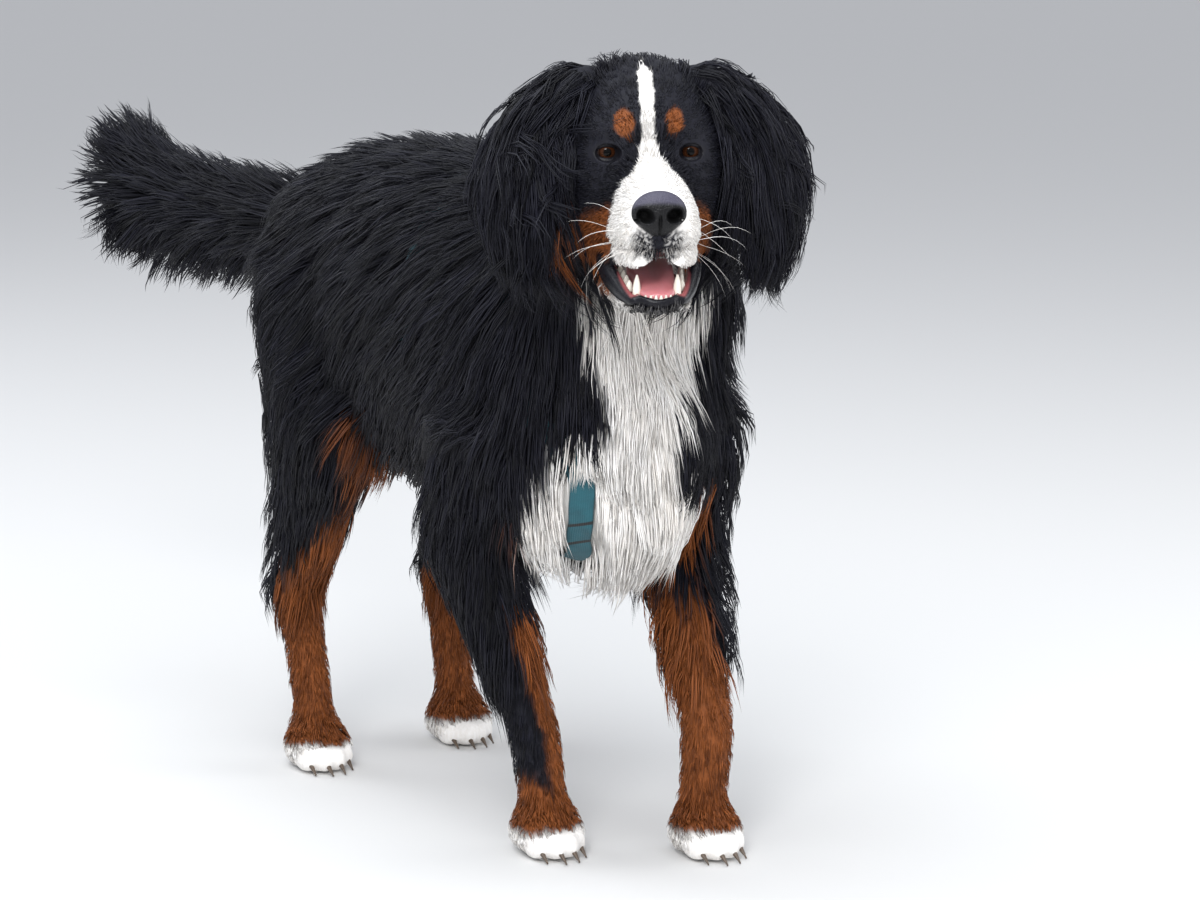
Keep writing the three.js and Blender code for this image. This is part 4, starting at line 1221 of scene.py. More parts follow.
def along_path(path, share):
    """Points of paths at shares of their length, one row of shares for each path"""
    place = np.clip(share, 0, 1) * COMB_STEPS
    i = np.minimum(np.floor(place).astype(int), COMB_STEPS - 1)
    f = (place - i)[..., None]
    row = np.arange(len(path))[:, None]
    near = path[row, i] * (1 - f) + path[row, i + 1] * f
    past = np.clip(share - 1, 0, None)[..., None] * COMB_STEPS
    return near + (path[:, -1:] - path[:, -2:-1]) * past


def strap_cover(points):
    """Whether points lie over the stretch of harness that shows"""
    x, y, z = points[..., 0], points[..., 1], points[..., 2]
    middle = np.interp(z, SHOWN[:, 2], SHOWN[:, 0])
    low, top = 322 + 6 * wobble(points, 12, 42), 404 + 10 * wobble(points, 14, 41)
    return (np.abs(x - middle) < 12 + 2 * wobble(points, 20, 43)) & (z > low) & (z < top) & (y < -60)


def strand_points(centre, width, widths, rng, field):
    """Three points round the middle line of each strand at every ring, and its tip"""
    total = len(centre)
    ahead = unit(np.gradient(centre, axis=1))
    out = field.out(centre.reshape(-1, 3)).reshape(centre.shape)
    across = unit(np.cross(ahead, out))
    up = np.cross(across, ahead)
    roll = rng.uniform(-0.5, 0.5, total)[:, None, None]
    across, up = across * np.cos(roll) + up * np.sin(roll), up * np.cos(roll) - across * np.sin(roll)
    half = width[:, None] * 0.5 * widths[None, :] * rng.uniform(0.7, 1.2, (total, 1))
    body = centre[:, :-1]
    a = body - across[:, :-1] * half[..., None]
    b = body + up[:, :-1] * half[..., None] * 0.8
    c = body + across[:, :-1] * half[..., None]
    points = np.concatenate([np.stack([a, b, c], 2).reshape(total, -1, 3), centre[:, -1:]], 1)
    points[..., 2] = np.maximum(points[..., 2], 0.2)
    return points


def strand_marks(path, lock, offset, style, rng):
    """White, rust and tone of each strand"""
    marked = along_path(path[lock], style["mark_at"][lock][:, None])[:, 0] + offset * 0.7
    white, rust = marks(marked)
    white = np.maximum(white, style["pale"][lock])
    rust = rust * style["rusty"][lock]
    tone = np.clip(0.48 + rng.normal(size=len(path)) * 0.15, 0, 1)[lock]
    tone = tone + rng.normal(size=len(lock)) * 0.1
    return np.stack([white, rust * (1 - white), np.clip(tone, 0, 1)], 1)


def strands(growth, rings, rng, field):
    """Points, marks, hair values and unwrap places of every strand of one growth"""
    roots, uv, style, per_lock = growth
    shares = np.array([*HAIR_RINGS[rings], 1.0])
    widths = np.array(HAIR_WIDTHS[rings])
    path = comb(roots, style, field)
    lock = np.repeat(np.arange(len(roots)), per_lock)
    total = len(lock)
    normal = field.out(roots)
    forward = unit(path[:, 2] - path[:, 0])
    sideways = unit(np.cross(forward, normal))
    disc = np.sqrt(rng.uniform(0, 1, total)) * style["spread"][lock]
    turn = rng.uniform(0, 2 * math.pi, total)
    offset = sideways[lock] * (disc * np.cos(turn))[:, None] + forward[lock] * (disc * np.sin(turn))[:, None]
    reach = rng.uniform(0.7, 1.06, total)
    hidden = strap_cover(path[lock] + offset[:, None] * 0.6)
    reach = np.where(hidden.any(1), np.minimum(reach, hidden.argmax(1) / COMB_STEPS), reach)
    at = shares[None, :] * reach[:, None]
    centre = along_path(path[lock], at)
    gather = (1 - style["clump"][lock][:, None] * at**0.8)[..., None]
    frizz = rng.normal(size=(total, 3)) * (style["frizz"] * style["length"])[lock][:, None]
    centre = centre + offset[:, None] * gather + frizz[:, None] * (at**1.5)[..., None]
    flat = centre.reshape(-1, 3)
    flat = flat + field.out(flat) * np.maximum(0.8 - field.height(flat), 0)[:, None]
    centre = flat.reshape(centre.shape)
    first = centre[:, 0]
    centre[:, 0] = field.settle(first, rounds=1) - field.out(first) * 1.5
    inside_room = np.abs(centre[..., 0] + SHIFT[0]).max(1) < SIDE_ROOM
    kept = (reach > 0.5) & inside_room & ~bare_of_hair(centre[:, 0])
    centre, lock, offset = centre[kept], lock[kept], offset[kept]
    disc, turn = disc[kept], turn[kept]
    centre[..., 2] = np.maximum(centre[..., 2], 0.6)
    points = strand_points(centre, style["width"][lock], widths, rng, field)
    own = strand_marks(path, lock, offset, style, rng)
    step_along = np.concatenate([np.repeat(shares[:-1], 3), [1.0]])
    step_across = np.concatenate([np.tile([0.0, 1.0, 2.0], rings), [1.0]])
    pick = rng.uniform(0, 1, len(lock))
    hair = np.stack(np.broadcast_arrays(step_across[None, :], step_along[None, :], pick[:, None]), -1)
    patch = np.stack([(step_across - 1) * 0.0015, (step_along - 0.5) * 0.003], -1)
    spot = uv[lock] + np.stack([disc * np.cos(turn), disc * np.sin(turn)], -1) * 0.0004
    places = np.clip(spot[:, None] + patch[None], 0.001, 0.999)
    return points, np.repeat(own[:, None], points.shape[1], 1), hair, places


def grow(name, growths, rings, seed, field=FIELD):
    """One coat piece: every lock of its growths, as tapered strands with three faces"""
    rng = np.random.default_rng(seed)
    grown = [strands(growth, rings, rng, field) for growth in growths]
    points, own_marks, hair, places = (np.concatenate(values) for values in zip(*grown))
    total, each = points.shape[:2]
    start = (np.arange(total) * each)[:, None]
    cap = start + np.array([[0, 2, 1]])
    sides = np.array([
        (3 * k + j, 3 * k + (j + 1) % 3, 3 * k + 3 + (j + 1) % 3, 3 * k + 3 + j)
        for k in range(rings - 1)
        for j in range(3)
    ])
    tips = np.array([(each - 4 + j, each - 4 + (j + 1) % 3, each - 1) for j in range(3)])
    triangles = np.concatenate([cap, (start[:, None] + tips[None]).reshape(-1, 3)])
    quads = (start[:, None] + sides[None]).reshape(-1, 4)
    mesh, corners = mesh_from_arrays(name, points.reshape(-1, 3), triangles, quads)
    keep_vectors(mesh, "marks", own_marks.reshape(-1, 3))
    keep_vectors(mesh, "hair", hair.reshape(-1, 3))
    unwrap = mesh.uv_layers.new(name="OFBake")
    unwrap.data.foreach_set("uv", places.reshape(-1, 2)[corners].astype(np.float32).ravel())
    piece = add_object(name, mesh, COAT)
    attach(piece, "root")


def patch_of(t, angle, box):
    """Places on the unwrap: the share of the length up, the angle across, in one box of the map"""
    low_u, low_v, high_u, high_v = box
    turn = (angle / (2 * math.pi)) % 1
    return np.stack([lerp(low_u, high_u, turn), lerp(low_v, high_v, t)], 1)


WHOLE_TURN = (0, 2 * math.pi)


def sow(form_name, count, rng, box, keep=None, t_span=(0, 1), angle_span=WHOLE_TURN, deep=-9, field=FIELD):
    """Roots over a form, where no other form covers it"""
    form = FORMS[form_name]
    t, angle, points = form.scatter(count, rng, t_span, angle_span)
    free = field.height(points) > deep
    if keep is not None:
        free &= keep(points)
    t, angle, points = t[free], angle[free], points[free]
    return field.settle(points), patch_of(t, angle, box), t, angle


STYLE = {
    "droop": 0.1, "cling": 0.8, "flick": 0.0, "wave": 0.0, "turns": 1.2, "frizz": 0.02, "clump": 0.7,
    "mark_at": 0.5, "pale": 0.0, "rusty": 1.0,
}


def styled(count, rng, **values):
    """A style for each lock. A pair is a range, and a plain number or an array is taken as it is."""
    result = {}
    for name, value in {**STYLE, **values}.items():
        if isinstance(value, tuple):
            result[name] = rng.uniform(*value, count)
        elif np.ndim(value) == 0:
            result[name] = np.full(count, float(value))
        else:
            result[name] = np.asarray(value, float)
    result["phase"] = rng.uniform(0, 2 * math.pi, count)
    return result


def lies(count, *parts):
    """Directions from three numbers or arrays"""
    return np.stack([np.broadcast_to(np.asarray(part, float), count) for part in parts], 1)


# Boxes of the unwrap, as low and high corners
WHOLE = (0.02, 0.02, 0.98, 0.98)
LOWER, UPPER = (0.02, 0.02, 0.98, 0.49), (0.02, 0.51, 0.98, 0.98)
QUARTERS = [
    (0.02, 0.02, 0.48, 0.48), (0.52, 0.02, 0.98, 0.48),
    (0.02, 0.52, 0.48, 0.98), (0.52, 0.52, 0.98, 0.98),
]


def torso_growth(rng, count, sign, t_span, name="torso", box=WHOLE):
    span = (-math.pi / 2, math.pi / 2) if sign > 0 else (math.pi / 2, 3 * math.pi / 2)
    roots, uv, _, angle = sow(name, count, rng, box, t_span=t_span, angle_span=span)
    x, y = roots.T[:2]
    n = len(roots)
    chest = step(-y, 0, 110)
    belly = step(-np.sin(angle), 0.3, 0.95)
    back = step(np.sin(angle), 0.75, 1)
    flow = wobble(roots, 120, 21)
    lift = wobble(roots, 55, 22)
    down = lerp(lerp(-0.75 + 0.5 * flow, -0.9, belly), -1.3, chest)
    hangs = chest * step(-np.sin(angle), -0.1, 0.6)
    style = styled(
        n, rng,
        lie=lies(n, 0.1 * np.sign(x) * back + 0.25 * flow * back, lerp(1, 0.05, chest), down),
        length=lerp(
            lerp(rng.uniform(70, 105, n), 62, back),
            rng.uniform(74, 108, n),
            np.maximum(belly, chest),
        ),
        width=(1.4, 2.1),
        stand=lerp(10 + 7 * lift + rng.uniform(-4, 4, n), rng.uniform(10, 30, n), belly * (1 - 0.4 * chest)),
        flick=rng.uniform(-3, 5, n) + 3 * back,
        wave=(0.6, 3.2),
        turns=(0.6, 1.3),
        cling=lerp(0.8, 0.1, hangs),
        droop=lerp(0.1, 0.45, hangs),
        spread=12.0,
        clump=(0.25, 0.65),
    )
    return roots, uv, style, 12


def neck_growth(rng, count, front_half):
    span = (math.pi, 2 * math.pi) if front_half else (0, math.pi)
    roots, uv, _, angle = sow("neck", count, rng, WHOLE, angle_span=span)
    n = len(roots)
    front = step(-np.sin(angle), -0.2, 0.7)
    flow = wobble(roots, 100, 23)
    left = step(roots[:, 0], 40, 90) * step(roots[:, 2], 500, 590)
    style = styled(
        n, rng,
        lie=lies(n, 0.2 * flow, lerp(0.8, 0.0, front), -0.9),
        length=(76, 122),
        width=(1.4, 2.1),
        stand=11 + 6 * wobble(roots, 50, 24) + rng.uniform(-4, 5, n) + rng.uniform(6, 24, n) * left,
        flick=rng.uniform(-3, 7, n),
        wave=(1, 4),
        turns=(0.6, 1.4),
        spread=11.0,
        clump=(0.25, 0.65),
    )
    return roots, uv, style, 12


def tail_growth(rng, count, t_span=(0, 1)):
    roots, uv, _, angle = sow("tail", count, rng, WHOLE, t_span=t_span)
    n = len(roots)
    under = step(-np.sin(angle), -0.4, 0.8)
    share = np.clip((roots[:, 1] - TAIL_ROOT_Y) / TAIL_LENGTH, 0, 1)
    at_end = step(share, 0.6, 0.95)
    fan = np.stack([np.cos(angle), 0 * angle, np.sin(angle) + 0.25], 1)
    fan = fan * (rng.uniform(0.1, 1.0, n) * at_end)[:, None]
    down = lerp(lerp(0, -0.7, at_end), lerp(0.6, 1.2, share), under) + 0.25 * wobble(roots, 60, 25)
    tailward = np.array([-math.sin(TAIL_SWING), math.cos(TAIL_SWING), 0.08])
    style = styled(
        n, rng,
        lie=tailward[None] + DOWN[None] * down[:, None] + fan,
        length=lerp(
            lerp(rng.uniform(70, 100, n), rng.uniform(60, 84, n), at_end),
            lerp(90, 112, share) + rng.uniform(-24, 4, n),
            under,
        ),
        width=(1.4, 2.1),
        stand=lerp(
            rng.uniform(8, 24, n) + rng.uniform(4, 36, n) * at_end,
            rng.uniform(0.25, 1, n) * lerp(30, 84, share**1.4),
            under,
        ),
        cling=0.12,
        droop=0.16 * under,
        flick=rng.uniform(-4, 8, n),
        wave=(1, 6),
        turns=(0.6, 1.3),
        spread=11.0,
        frizz=0.035,
        clump=(0.15, 0.55),
    )
    return roots, uv, style, 11


def ear_growth(rng, count, sign, box):
    roots, uv, t, _ = sow(f"ear_{SIDE_NAMES[sign]}", count, rng, box, deep=-5, field=HEAD_FIELD)
    n = len(roots)
    p = to_head(roots)
    edge = step(np.abs(p[:, 0]), 98, 140)
    wind = 0.16 + 0.3 * wobble(roots, 50, 26)
    inner = -0.3 if sign > 0 else -0.12
    lie = lies(n, sign * lerp(inner, 0.42, edge) + wind, 0.1, -1)
    style = styled(
        n, rng,
        lie=lie @ HEAD_TURN.T,
        length=lerp(rng.uniform(60, 90, n), rng.uniform(86, 126, n), step(t, 0.15, 0.5)),
        width=(1.3, 1.9),
        stand=lerp(rng.uniform(2, 12, n), rng.uniform(5, 20, n), edge),
        cling=0.08,
        droop=0.2,
        flick=rng.uniform(-2, 8, n),
        wave=(1.5, 6),
        turns=(0.8, 1.6),
        spread=9.0,
        frizz=0.025,
        clump=(0.35, 0.8),
    )
    return roots, uv, style, 11


def ear_top_growth(rng, count, sign, box):
    """Hair from the side of the crown, which falls over the top of the ear"""
    def outside(points):
        return sign * to_head(points)[:, 0] > 46

    name = f"ear_root_{SIDE_NAMES[sign]}"
    roots, uv, *_ = sow(name, count, rng, box, keep=outside, deep=-7, field=HEAD_FIELD)
    n = len(roots)
    lie = lies(n, sign * rng.uniform(0.6, 1.3, n), rng.uniform(-0.3, 0.3, n), -1.0)
    style = styled(
        n, rng,
        lie=lie @ HEAD_TURN.T,
        length=(44, 84),
        width=(1.3, 1.9),
        stand=(3, 11),
        cling=0.6,
        flick=(-2, 5),
        wave=(1, 5),
        spread=8.0,
        frizz=0.03,
    )
    return roots, uv, style, 10


def blown_growth(rng, count, sign, box):
    """A few thin locks that the wind lifts off the ears, towards the dog's left"""
    def below_top(points):
        return to_head(points)[:, 2] < 20

    name = f"ear_{SIDE_NAMES[sign]}"
    roots, uv, *_ = sow(name, count, rng, box, keep=below_top, deep=-3, field=HEAD_FIELD)
    n = len(roots)
    lie = lies(n, rng.uniform(0.7, 1.4, n), rng.uniform(-0.4, 0.2, n), rng.uniform(-1.0, 0.15, n))
    style = styled(
        n, rng,
        lie=lie @ HEAD_TURN.T,
        length=lerp(rng.uniform(60, 96, n), rng.uniform(46, 74, n), sign > 0),
        width=(1.1, 1.6),
        stand=lerp(rng.uniform(14, 34, n), rng.uniform(6, 20, n), sign > 0),
        cling=0.05,
        droop=(-0.05, 0.2),
        wave=(5, 12),
        turns=(0.5, 1.1),
        spread=6.0,
        frizz=0.06,
        clump=0.75,
    )
    return roots, uv, style, 7


def ruff_growth(rng, count, sign, box):
    """Long hair behind the cheek, which fills the space between the ear and the neck"""
    def behind_cheek(points):
        x, y, z = to_head(points).T
        return (sign * x > 50) & (y > 40) & (z < 14)

    span = (0.4, 1)
    roots, uv, *_ = sow("skull", count, rng, box, keep=behind_cheek, deep=-8, t_span=span, field=HEAD_FIELD)
    n = len(roots)
    lie = lies(n, sign * rng.uniform(0.1, 0.5, n), rng.uniform(-0.1, 0.35, n), -1)
    style = styled(
        n, rng,
        lie=lie @ HEAD_TURN.T,
        length=(80, 122),
        width=(1.4, 2.0),
        stand=(6, 34),
        cling=0.3,
        wave=(1.5, 5),
        spread=9.0,
        clump=(0.3, 0.7),
        mark_at=0.25,
        rusty=0.0,
    )
    return roots, uv, style, 11


def crown_growth(rng):
    """The tuft that stands on the right side of the crown"""
    def near_tuft(points):
        return np.linalg.norm(to_head(points) - (-34, 44, 84), axis=1) < 17

    roots, uv, *_ = sow("skull", 2400, rng, UPPER, keep=near_tuft, field=HEAD_FIELD)
    n = len(roots)
    lie = lies(n, rng.uniform(-0.9, 0.1, n), rng.uniform(0, 0.5, n), 1)
    style = styled(
        n, rng,
        lie=lie @ HEAD_TURN.T,
        length=(14, 26),
        width=1.0,
        stand=(4, 11),
        cling=0.5,
        wave=(1, 5),
        droop=0.1,
        spread=6.0,
        frizz=0.1,
        clump=0.3,
    )
    return roots, uv, style, 5


def thigh_growth(rng, count, name, box, hind):
    """Long hair of the upper part of a leg"""
    roots, uv, _, angle = sow(name, count, rng, box, t_span=(0, 0.6 if hind else 0.5), deep=-10)
    n = len(roots)
    behind = step(np.sin(angle), 0.1, 0.9)
    flow = wobble(roots, 80, 27)
    outer = step(np.abs(roots[:, 0]), 90, 130) * (roots[:, 0] > 0) * (not hind)
    style = styled(
        n, rng,
        lie=lies(n, 0.2 * flow, lerp(0.45, 0.8, behind) * (1 if hind else 0.7), -1),
        length=lerp(rng.uniform(54, 84, n), rng.uniform(70, 104, n), behind),
        width=(1.4, 2.0),
        stand=10 * outer + lerp(
            7 + 4 * wobble(roots, 50, 28) + rng.uniform(-2, 3, n),
            rng.uniform(8, 28, n),
            behind,
        ),
        cling=lerp(0.8, 0.45, behind),
        wave=(1, 4),
        spread=11.0,
        clump=(0.25, 0.65),
    )
    return roots, uv, style, 11


def shank_growth(rng, count, name, box, hind):
    """Shorter hair of the lower part of a leg, with a feather behind it"""
    roots, uv, _, angle = sow(name, count, rng, box, t_span=(0.5 if hind else 0.42, 1), deep=-8)
    n = len(roots)
    z = roots[:, 2]
    behind = step(np.sin(angle), 0.2, 0.9)
    feather = behind * step(z, 100, 230)
    length = lerp(rng.uniform(17, 27, n), rng.uniform(28, 44, n), step(z, 120, 300))
    style = styled(
        n, rng,
        lie=lies(n, 0, lerp(0.08, 0.5, feather), -1),
        length=np.maximum(length, feather * rng.uniform(50, 86, n)),
        width=lerp(1.3, 1.6, step(z, 120, 300)),
        stand=lerp(rng.uniform(1, 3, n), rng.uniform(6, 24, n), feather),
        cling=lerp(0.9, 0.5, behind),
        wave=lerp(0.4, 3, feather),
        spread=5.5,
        clump=0.3,
        mark_at=0.4,
    )
    return roots, uv, style, 7


def paw_growth(rng, count, name, box):
    def off_floor(points):
        return points[:, 2] > 4

    roots, uv, *_ = sow(name, count, rng, box, keep=off_floor)
    n = len(roots)
    style = styled(
        n, rng,
        lie=lies(n, 0, -0.8, -0.7),
        length=(9, 15),
        width=1.4,
        stand=(0.8, 2.4),
        wave=0.2,
        spread=3.6,
        clump=0.3,
        mark_at=0.3,
    )
    return roots, uv, style, 6


def bare_of_hair(points):
    """Where no hair grows: the eyes, the nose, the lips and the mouth"""
    p = to_head(points)
    bare = (MOUTH.height(points) < 2) & (p[:, 2] < -70) & (p[:, 2] > -128)
    bare &= ~(outside_flews(p) & (p[:, 2] > -106))
    bare |= oval(p, NOSE_AT, (23.5, 17, 21)) > 0
    for name in LOWER_RIM:
        bare |= FORMS[name].height(points) < 1.5
    for sign in (-1, 1):
        bare |= oval(p, eye_at(sign) + (0, -10, 0), (14, 20, 9.6)) > 0
    return bare


def face_lie(p):
    """Directions of the short hair: away from the nose, and round the eyes"""
    lie = unit(p - (NOSE_AT + (0, 0, 6)))
    for sign in (-1, 1):
        away = p - (eye_at(sign) + (0, -8, 0))
        far = np.linalg.norm(away, axis=1)
        lie = lie + unit(away) * (0.9 * step(34 - far, 0, 16))[:, None]
    return lie


def head_growth(rng, count, name, box, t_span=(0, 1), deep=-4):
    def haired(points):
        return ~bare_of_hair(points)

    roots, uv, *_ = sow(name, count, rng, box, keep=haired, t_span=t_span, deep=deep, field=HEAD_FIELD)
    n = len(roots)
    p = to_head(roots)
    x, y, z = p.T
    far = step(y, -14, 66)
    cheek = step(-z, 44, 104) * step(y, -34, 20)
    lie = face_lie(p)
    nape = step(y, 86, 128)
    lie[:, 2] = lie[:, 2] - 1.3 * cheek - 0.3 * far * step(np.abs(x), 30, 70) - 0.5 * nape
    length = lerp(lerp(rng.uniform(8, 12, n), rng.uniform(18, 30, n), far), rng.uniform(44, 74, n), nape)
    style = styled(
        n, rng,
        lie=lie @ HEAD_TURN.T,
        length=lerp(length, rng.uniform(30, 54, n), cheek),
        width=lerp(lerp(0.9, 1.3, far), 1.6, np.maximum(cheek, nape)),
        stand=lerp(lerp(0.3, rng.uniform(0.8, 3, n), far), rng.uniform(2, 9, n), np.maximum(cheek, nape)),
        wave=lerp(0.1, 2.0, cheek),
        spread=lerp(lerp(3.0, 5.0, far), 6.0, cheek),
        clump=lerp(0.1, 0.4, cheek),
        mark_at=lerp(0.2, 0.5, cheek),
    )
    return roots, uv, style, 6


def chin_fringe(rng):
    """Short dark hair under the front rim of the lower lip, with pale tips at both sides"""
    n = 300
    turn = np.radians(rng.uniform(-80, 80, n))
    down = rng.uniform(0, 12, n)
    at = np.stack([29 * np.sin(turn), -58 - 36 * np.cos(turn), -134 - down], 1)
    roots = HEAD_FIELD.settle(to_body(at))
    lie = np.stack([0.7 * np.sin(turn), -0.6 * np.cos(turn), np.full(n, -0.9)], 1)
    style = styled(
        n, rng,
        lie=lie @ HEAD_TURN.T,
        length=(7, 15),
        width=0.9,
        stand=(2, 6),
        spread=2.5,
        clump=0.2,
        droop=0.0,
        pale=step(np.abs(np.sin(turn)) - 0.04 * down + rng.uniform(-0.2, 0.2, n), 0.5, 0.7) * 0.9,
    )
    return roots, patch_of(at[:, 2] / 1000 % 1, turn, QUARTERS[0]), style, 4


def whisker_growth(rng):
    """Long pale bristles in rows on the sides of the muzzle"""
    at, lie = [], []
    for sign in (-1, 1):
        for row, how_many in enumerate((1, 2, 3, 3)):
            for k in range(how_many):
                at.append((sign * (32 + row), -88 + 15 * k, -52 - 10 * row - 2 * k))
                lie.append((sign * 1.0, -0.1 + 0.24 * k, 0.3 - 0.3 * row))
    at, lie = np.array(at, float), np.array(lie)
    roots = HEAD_FIELD.settle(to_body(at))
    n = len(roots)
    lie = unit(lie + rng.normal(size=(n, 3)) * 0.14)
    style = styled(
        n, rng,
        lie=lie @ HEAD_TURN.T,
        length=(40, 60),
        width=0.42,
        stand=(18, 34),
        cling=0.0,
        droop=(0.1, 0.3),
        spread=0.0,
        frizz=0.0,
        clump=0.0,
        pale=1.0,
    )
    return roots, patch_of(np.linspace(0, 1, n), np.linspace(0, 6, n), WHOLE), style, 1


COAT = coat_finish()
skin = build_skin()
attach(skin, "root")
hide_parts("head", "jaw", "ear_left", "ear_right", "neck", "torso", "tail")
for side in SIDES:
    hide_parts(f"foreleg_{side}", f"hindleg_{side}", f"forepaw_{side}", f"hindpaw_{side}")

# The coat, piece by piece: the locks sown on each form, the rings of a strand and the seed of the piece
rng = np.random.default_rng(7)
FRONT, REAR = (0, 0.44), (0.44, 1)
for side, sign in SIDES.items():
    chest = [torso_growth(rng, 640, sign, FRONT), torso_growth(rng, 170, sign, (0, 1), "brisket", LOWER)]
    grow(f"coat_chest_{side}", chest, 3, 101 if sign > 0 else 102)
grow("coat_flank_left", [torso_growth(rng, 640, 1, REAR)], 3, 103)
grow("coat_flank_right", [torso_growth(rng, 640, -1, REAR)], 3, 104)
grow("coat_neck_front", [neck_growth(rng, 560, True)], 4, 105)
grow("coat_neck_back", [neck_growth(rng, 560, False)], 4, 106)
grow("coat_tail", [tail_growth(rng, 520), tail_growth(rng, 130, (0.78, 1))], 4, 107)
thighs = [thigh_growth(rng, 420, f"hindleg_{side}", box, True) for side, box in zip(SIDES, (LOWER, UPPER))]
grow("coat_thighs", thighs, 3, 108)
arms = [thigh_growth(rng, 260, f"foreleg_{side}", box, False) for side, box in zip(SIDES, (LOWER, UPPER))]
grow("coat_forelegs", arms, 3, 109)
legs = ["hindleg_left", "hindleg_right", "foreleg_left", "foreleg_right"]
shanks = [shank_growth(rng, 440, name, box, name.startswith("hind")) for name, box in zip(legs, QUARTERS)]
grow("coat_shanks", shanks, 2, 110)
paws = [name for name in FORMS if "paw" in name]
short = [paw_growth(rng, 300, name, box) for name, box in zip(paws, QUARTERS)]
grow("coat_paws", short, 2, 111)
ears, ruffs = [], []
for sign, box in ((1, LOWER), (-1, UPPER)):
    ears.append(ear_growth(rng, 260, sign, box))
    ears.append(ear_top_growth(rng, 90, sign, box))
    ears.append(blown_growth(rng, 34, sign, box))
    ruffs.append(ruff_growth(rng, 520, sign, box))
grow("coat_ears", ears, 4, 112, HEAD_FIELD)
grow("coat_ruff", ruffs, 4, 116)
face = [
    head_growth(rng, 900, "skull", UPPER, (0, 0.34)),
    head_growth(rng, 1500, "muzzle", QUARTERS[0]),
    head_growth(rng, 420, "jaw", QUARTERS[1]),
    head_growth(rng, 200, "upper_lip_left", QUARTERS[2]),
    head_growth(rng, 200, "upper_lip_right", QUARTERS[3]),
    chin_fringe(rng),
]
grow("coat_face", face, 2, 113, HEAD_FIELD)
crown = [head_growth(rng, 960, "skull", WHOLE, (0.3, 1), -12), crown_growth(rng)]
grow("coat_crown", crown, 3, 114, HEAD_FIELD)
grow("whiskers", [whisker_growth(rng)], 7, 115, HEAD_FIELD)


# Eyes

def eye_finish():
    finish = Finish("wet brown eye")
    across, up, _ = finish.attribute("eye")
    angle = up.math("ARCTAN2", across)
    radius = (across * across + up * up) ** 0.5
    rays = finish.noise(finish.vector(X=angle * 5.0, Y=radius * 2.0), 2.0, 3.0)
    iris = finish.mix(rays, (0.01, 0.0035, 0.002), (0.066, 0.021, 0.007))
    pupil = 1 - radius.over(0.26, 0.36)
    rim = radius.over(0.54, 0.64)
    white = radius.over(0.68, 0.76)
    colour = finish.mix(rim, iris, (0.01, 0.005, 0.004))
    colour = finish.mix(white, colour, (0.16, 0.1, 0.085))
    colour = finish.mix(pupil, colour, (0.0005, 0.0005, 0.0005))
    return finish.done(
        Base_Color=colour, Roughness=0.12, Coat_Weight=0.25, Coat_Roughness=0.02,
        Specular_IOR_Level=0.03,
    )


def build_eye(side, sign, material):
    """An eyeball with its clear front bulged a little"""
    local, faces = unit_ball(31, 40)
    bulge = 1 + 0.07 * step(-local[:, 1], 0.78, 1)
    points = to_body(local * EYE_RADIUS * bulge[:, None] * EYE_FIT + eye_at(sign))
    mesh = mesh_of(f"eyeball_{side}", points, faces)
    keep_vectors(mesh, "eye", np.stack([local[:, 0], local[:, 2], -local[:, 1]], 1))
    piece = add_object(f"eyeball_{side}", mesh, material)
    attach(piece, "root")
    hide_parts(f"eye_{side}")


EYE_FIT = 0.98  # the ball's size as a share of the solid's, so that the lids close over it
EYE = eye_finish()
for side, sign in SIDES.items():
    build_eye(side, sign, EYE)


# Tongue and nose

def tongue_finish():
    finish = Finish("moist tongue")
    place = finish.place()
    buds = finish.cells(place, 900.0)
    patches = finish.noise(place, 60, 3.0)
    colour = finish.mix(patches, (0.5, 0.13, 0.15), (0.68, 0.27, 0.28))
    return finish.done(
        Base_Color=colour, Roughness=0.34, Normal=finish.bump(buds, 0.35, 0.0006), Subsurface_Weight=0.1,
        Subsurface_Scale=0.01, Coat_Weight=0.4, Coat_Roughness=0.15,
    )


def build_tongue():
    points, faces = tongue_form().shell(40, 40)
    p = to_head(points)
    top = step(p[:, 2], -116, -104)
    groove = np.exp(-((p[:, 0] / 2.6) ** 2)) * 2.4 * top
    cup = (np.abs(p[:, 0]) / 20) ** 2 * 4 * top
    p[:, 2] += cup - groove
    piece = add_object("tongue_flesh", mesh_of("tongue_flesh", to_body(p), faces), tongue_finish())
    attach(piece, "root")
    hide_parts("tongue")


def nose_finish():
    finish = Finish("nose leather")
    place = finish.place()
    pebbles = finish.cells(place, 620.0)
    # The nose's kept values: the depth of the nostrils and groove, which darkens them as painted shade, and
    # the top, lightened as a painted reflection
    deep, top, _ = finish.attribute("hollow")
    colour = finish.mix(finish.noise(place, 90, 2.0), (0.0022, 0.0022, 0.0026), (0.007, 0.0068, 0.008))
    # Painted reflection: the top of the nose is lightened to a lilac grey, as if it caught the sky
    colour = finish.mix(top, colour, (0.062, 0.058, 0.085))
    # Painted shade: the nostrils and the middle groove are darkened almost to black by their depth
    colour = finish.mix((deep * 1.6).clamped(), colour, (0.0006, 0.0006, 0.0007))
    return finish.done(
        Base_Color=colour, Roughness=deep * 0.55 + 0.38, Normal=finish.bump(pebbles, 0.6, 0.0009),
        Coat_Weight=0.08, Coat_Roughness=0.3, Specular_IOR_Level=0.2,
    )


NOSE_HALVES = (25, 14, 22)


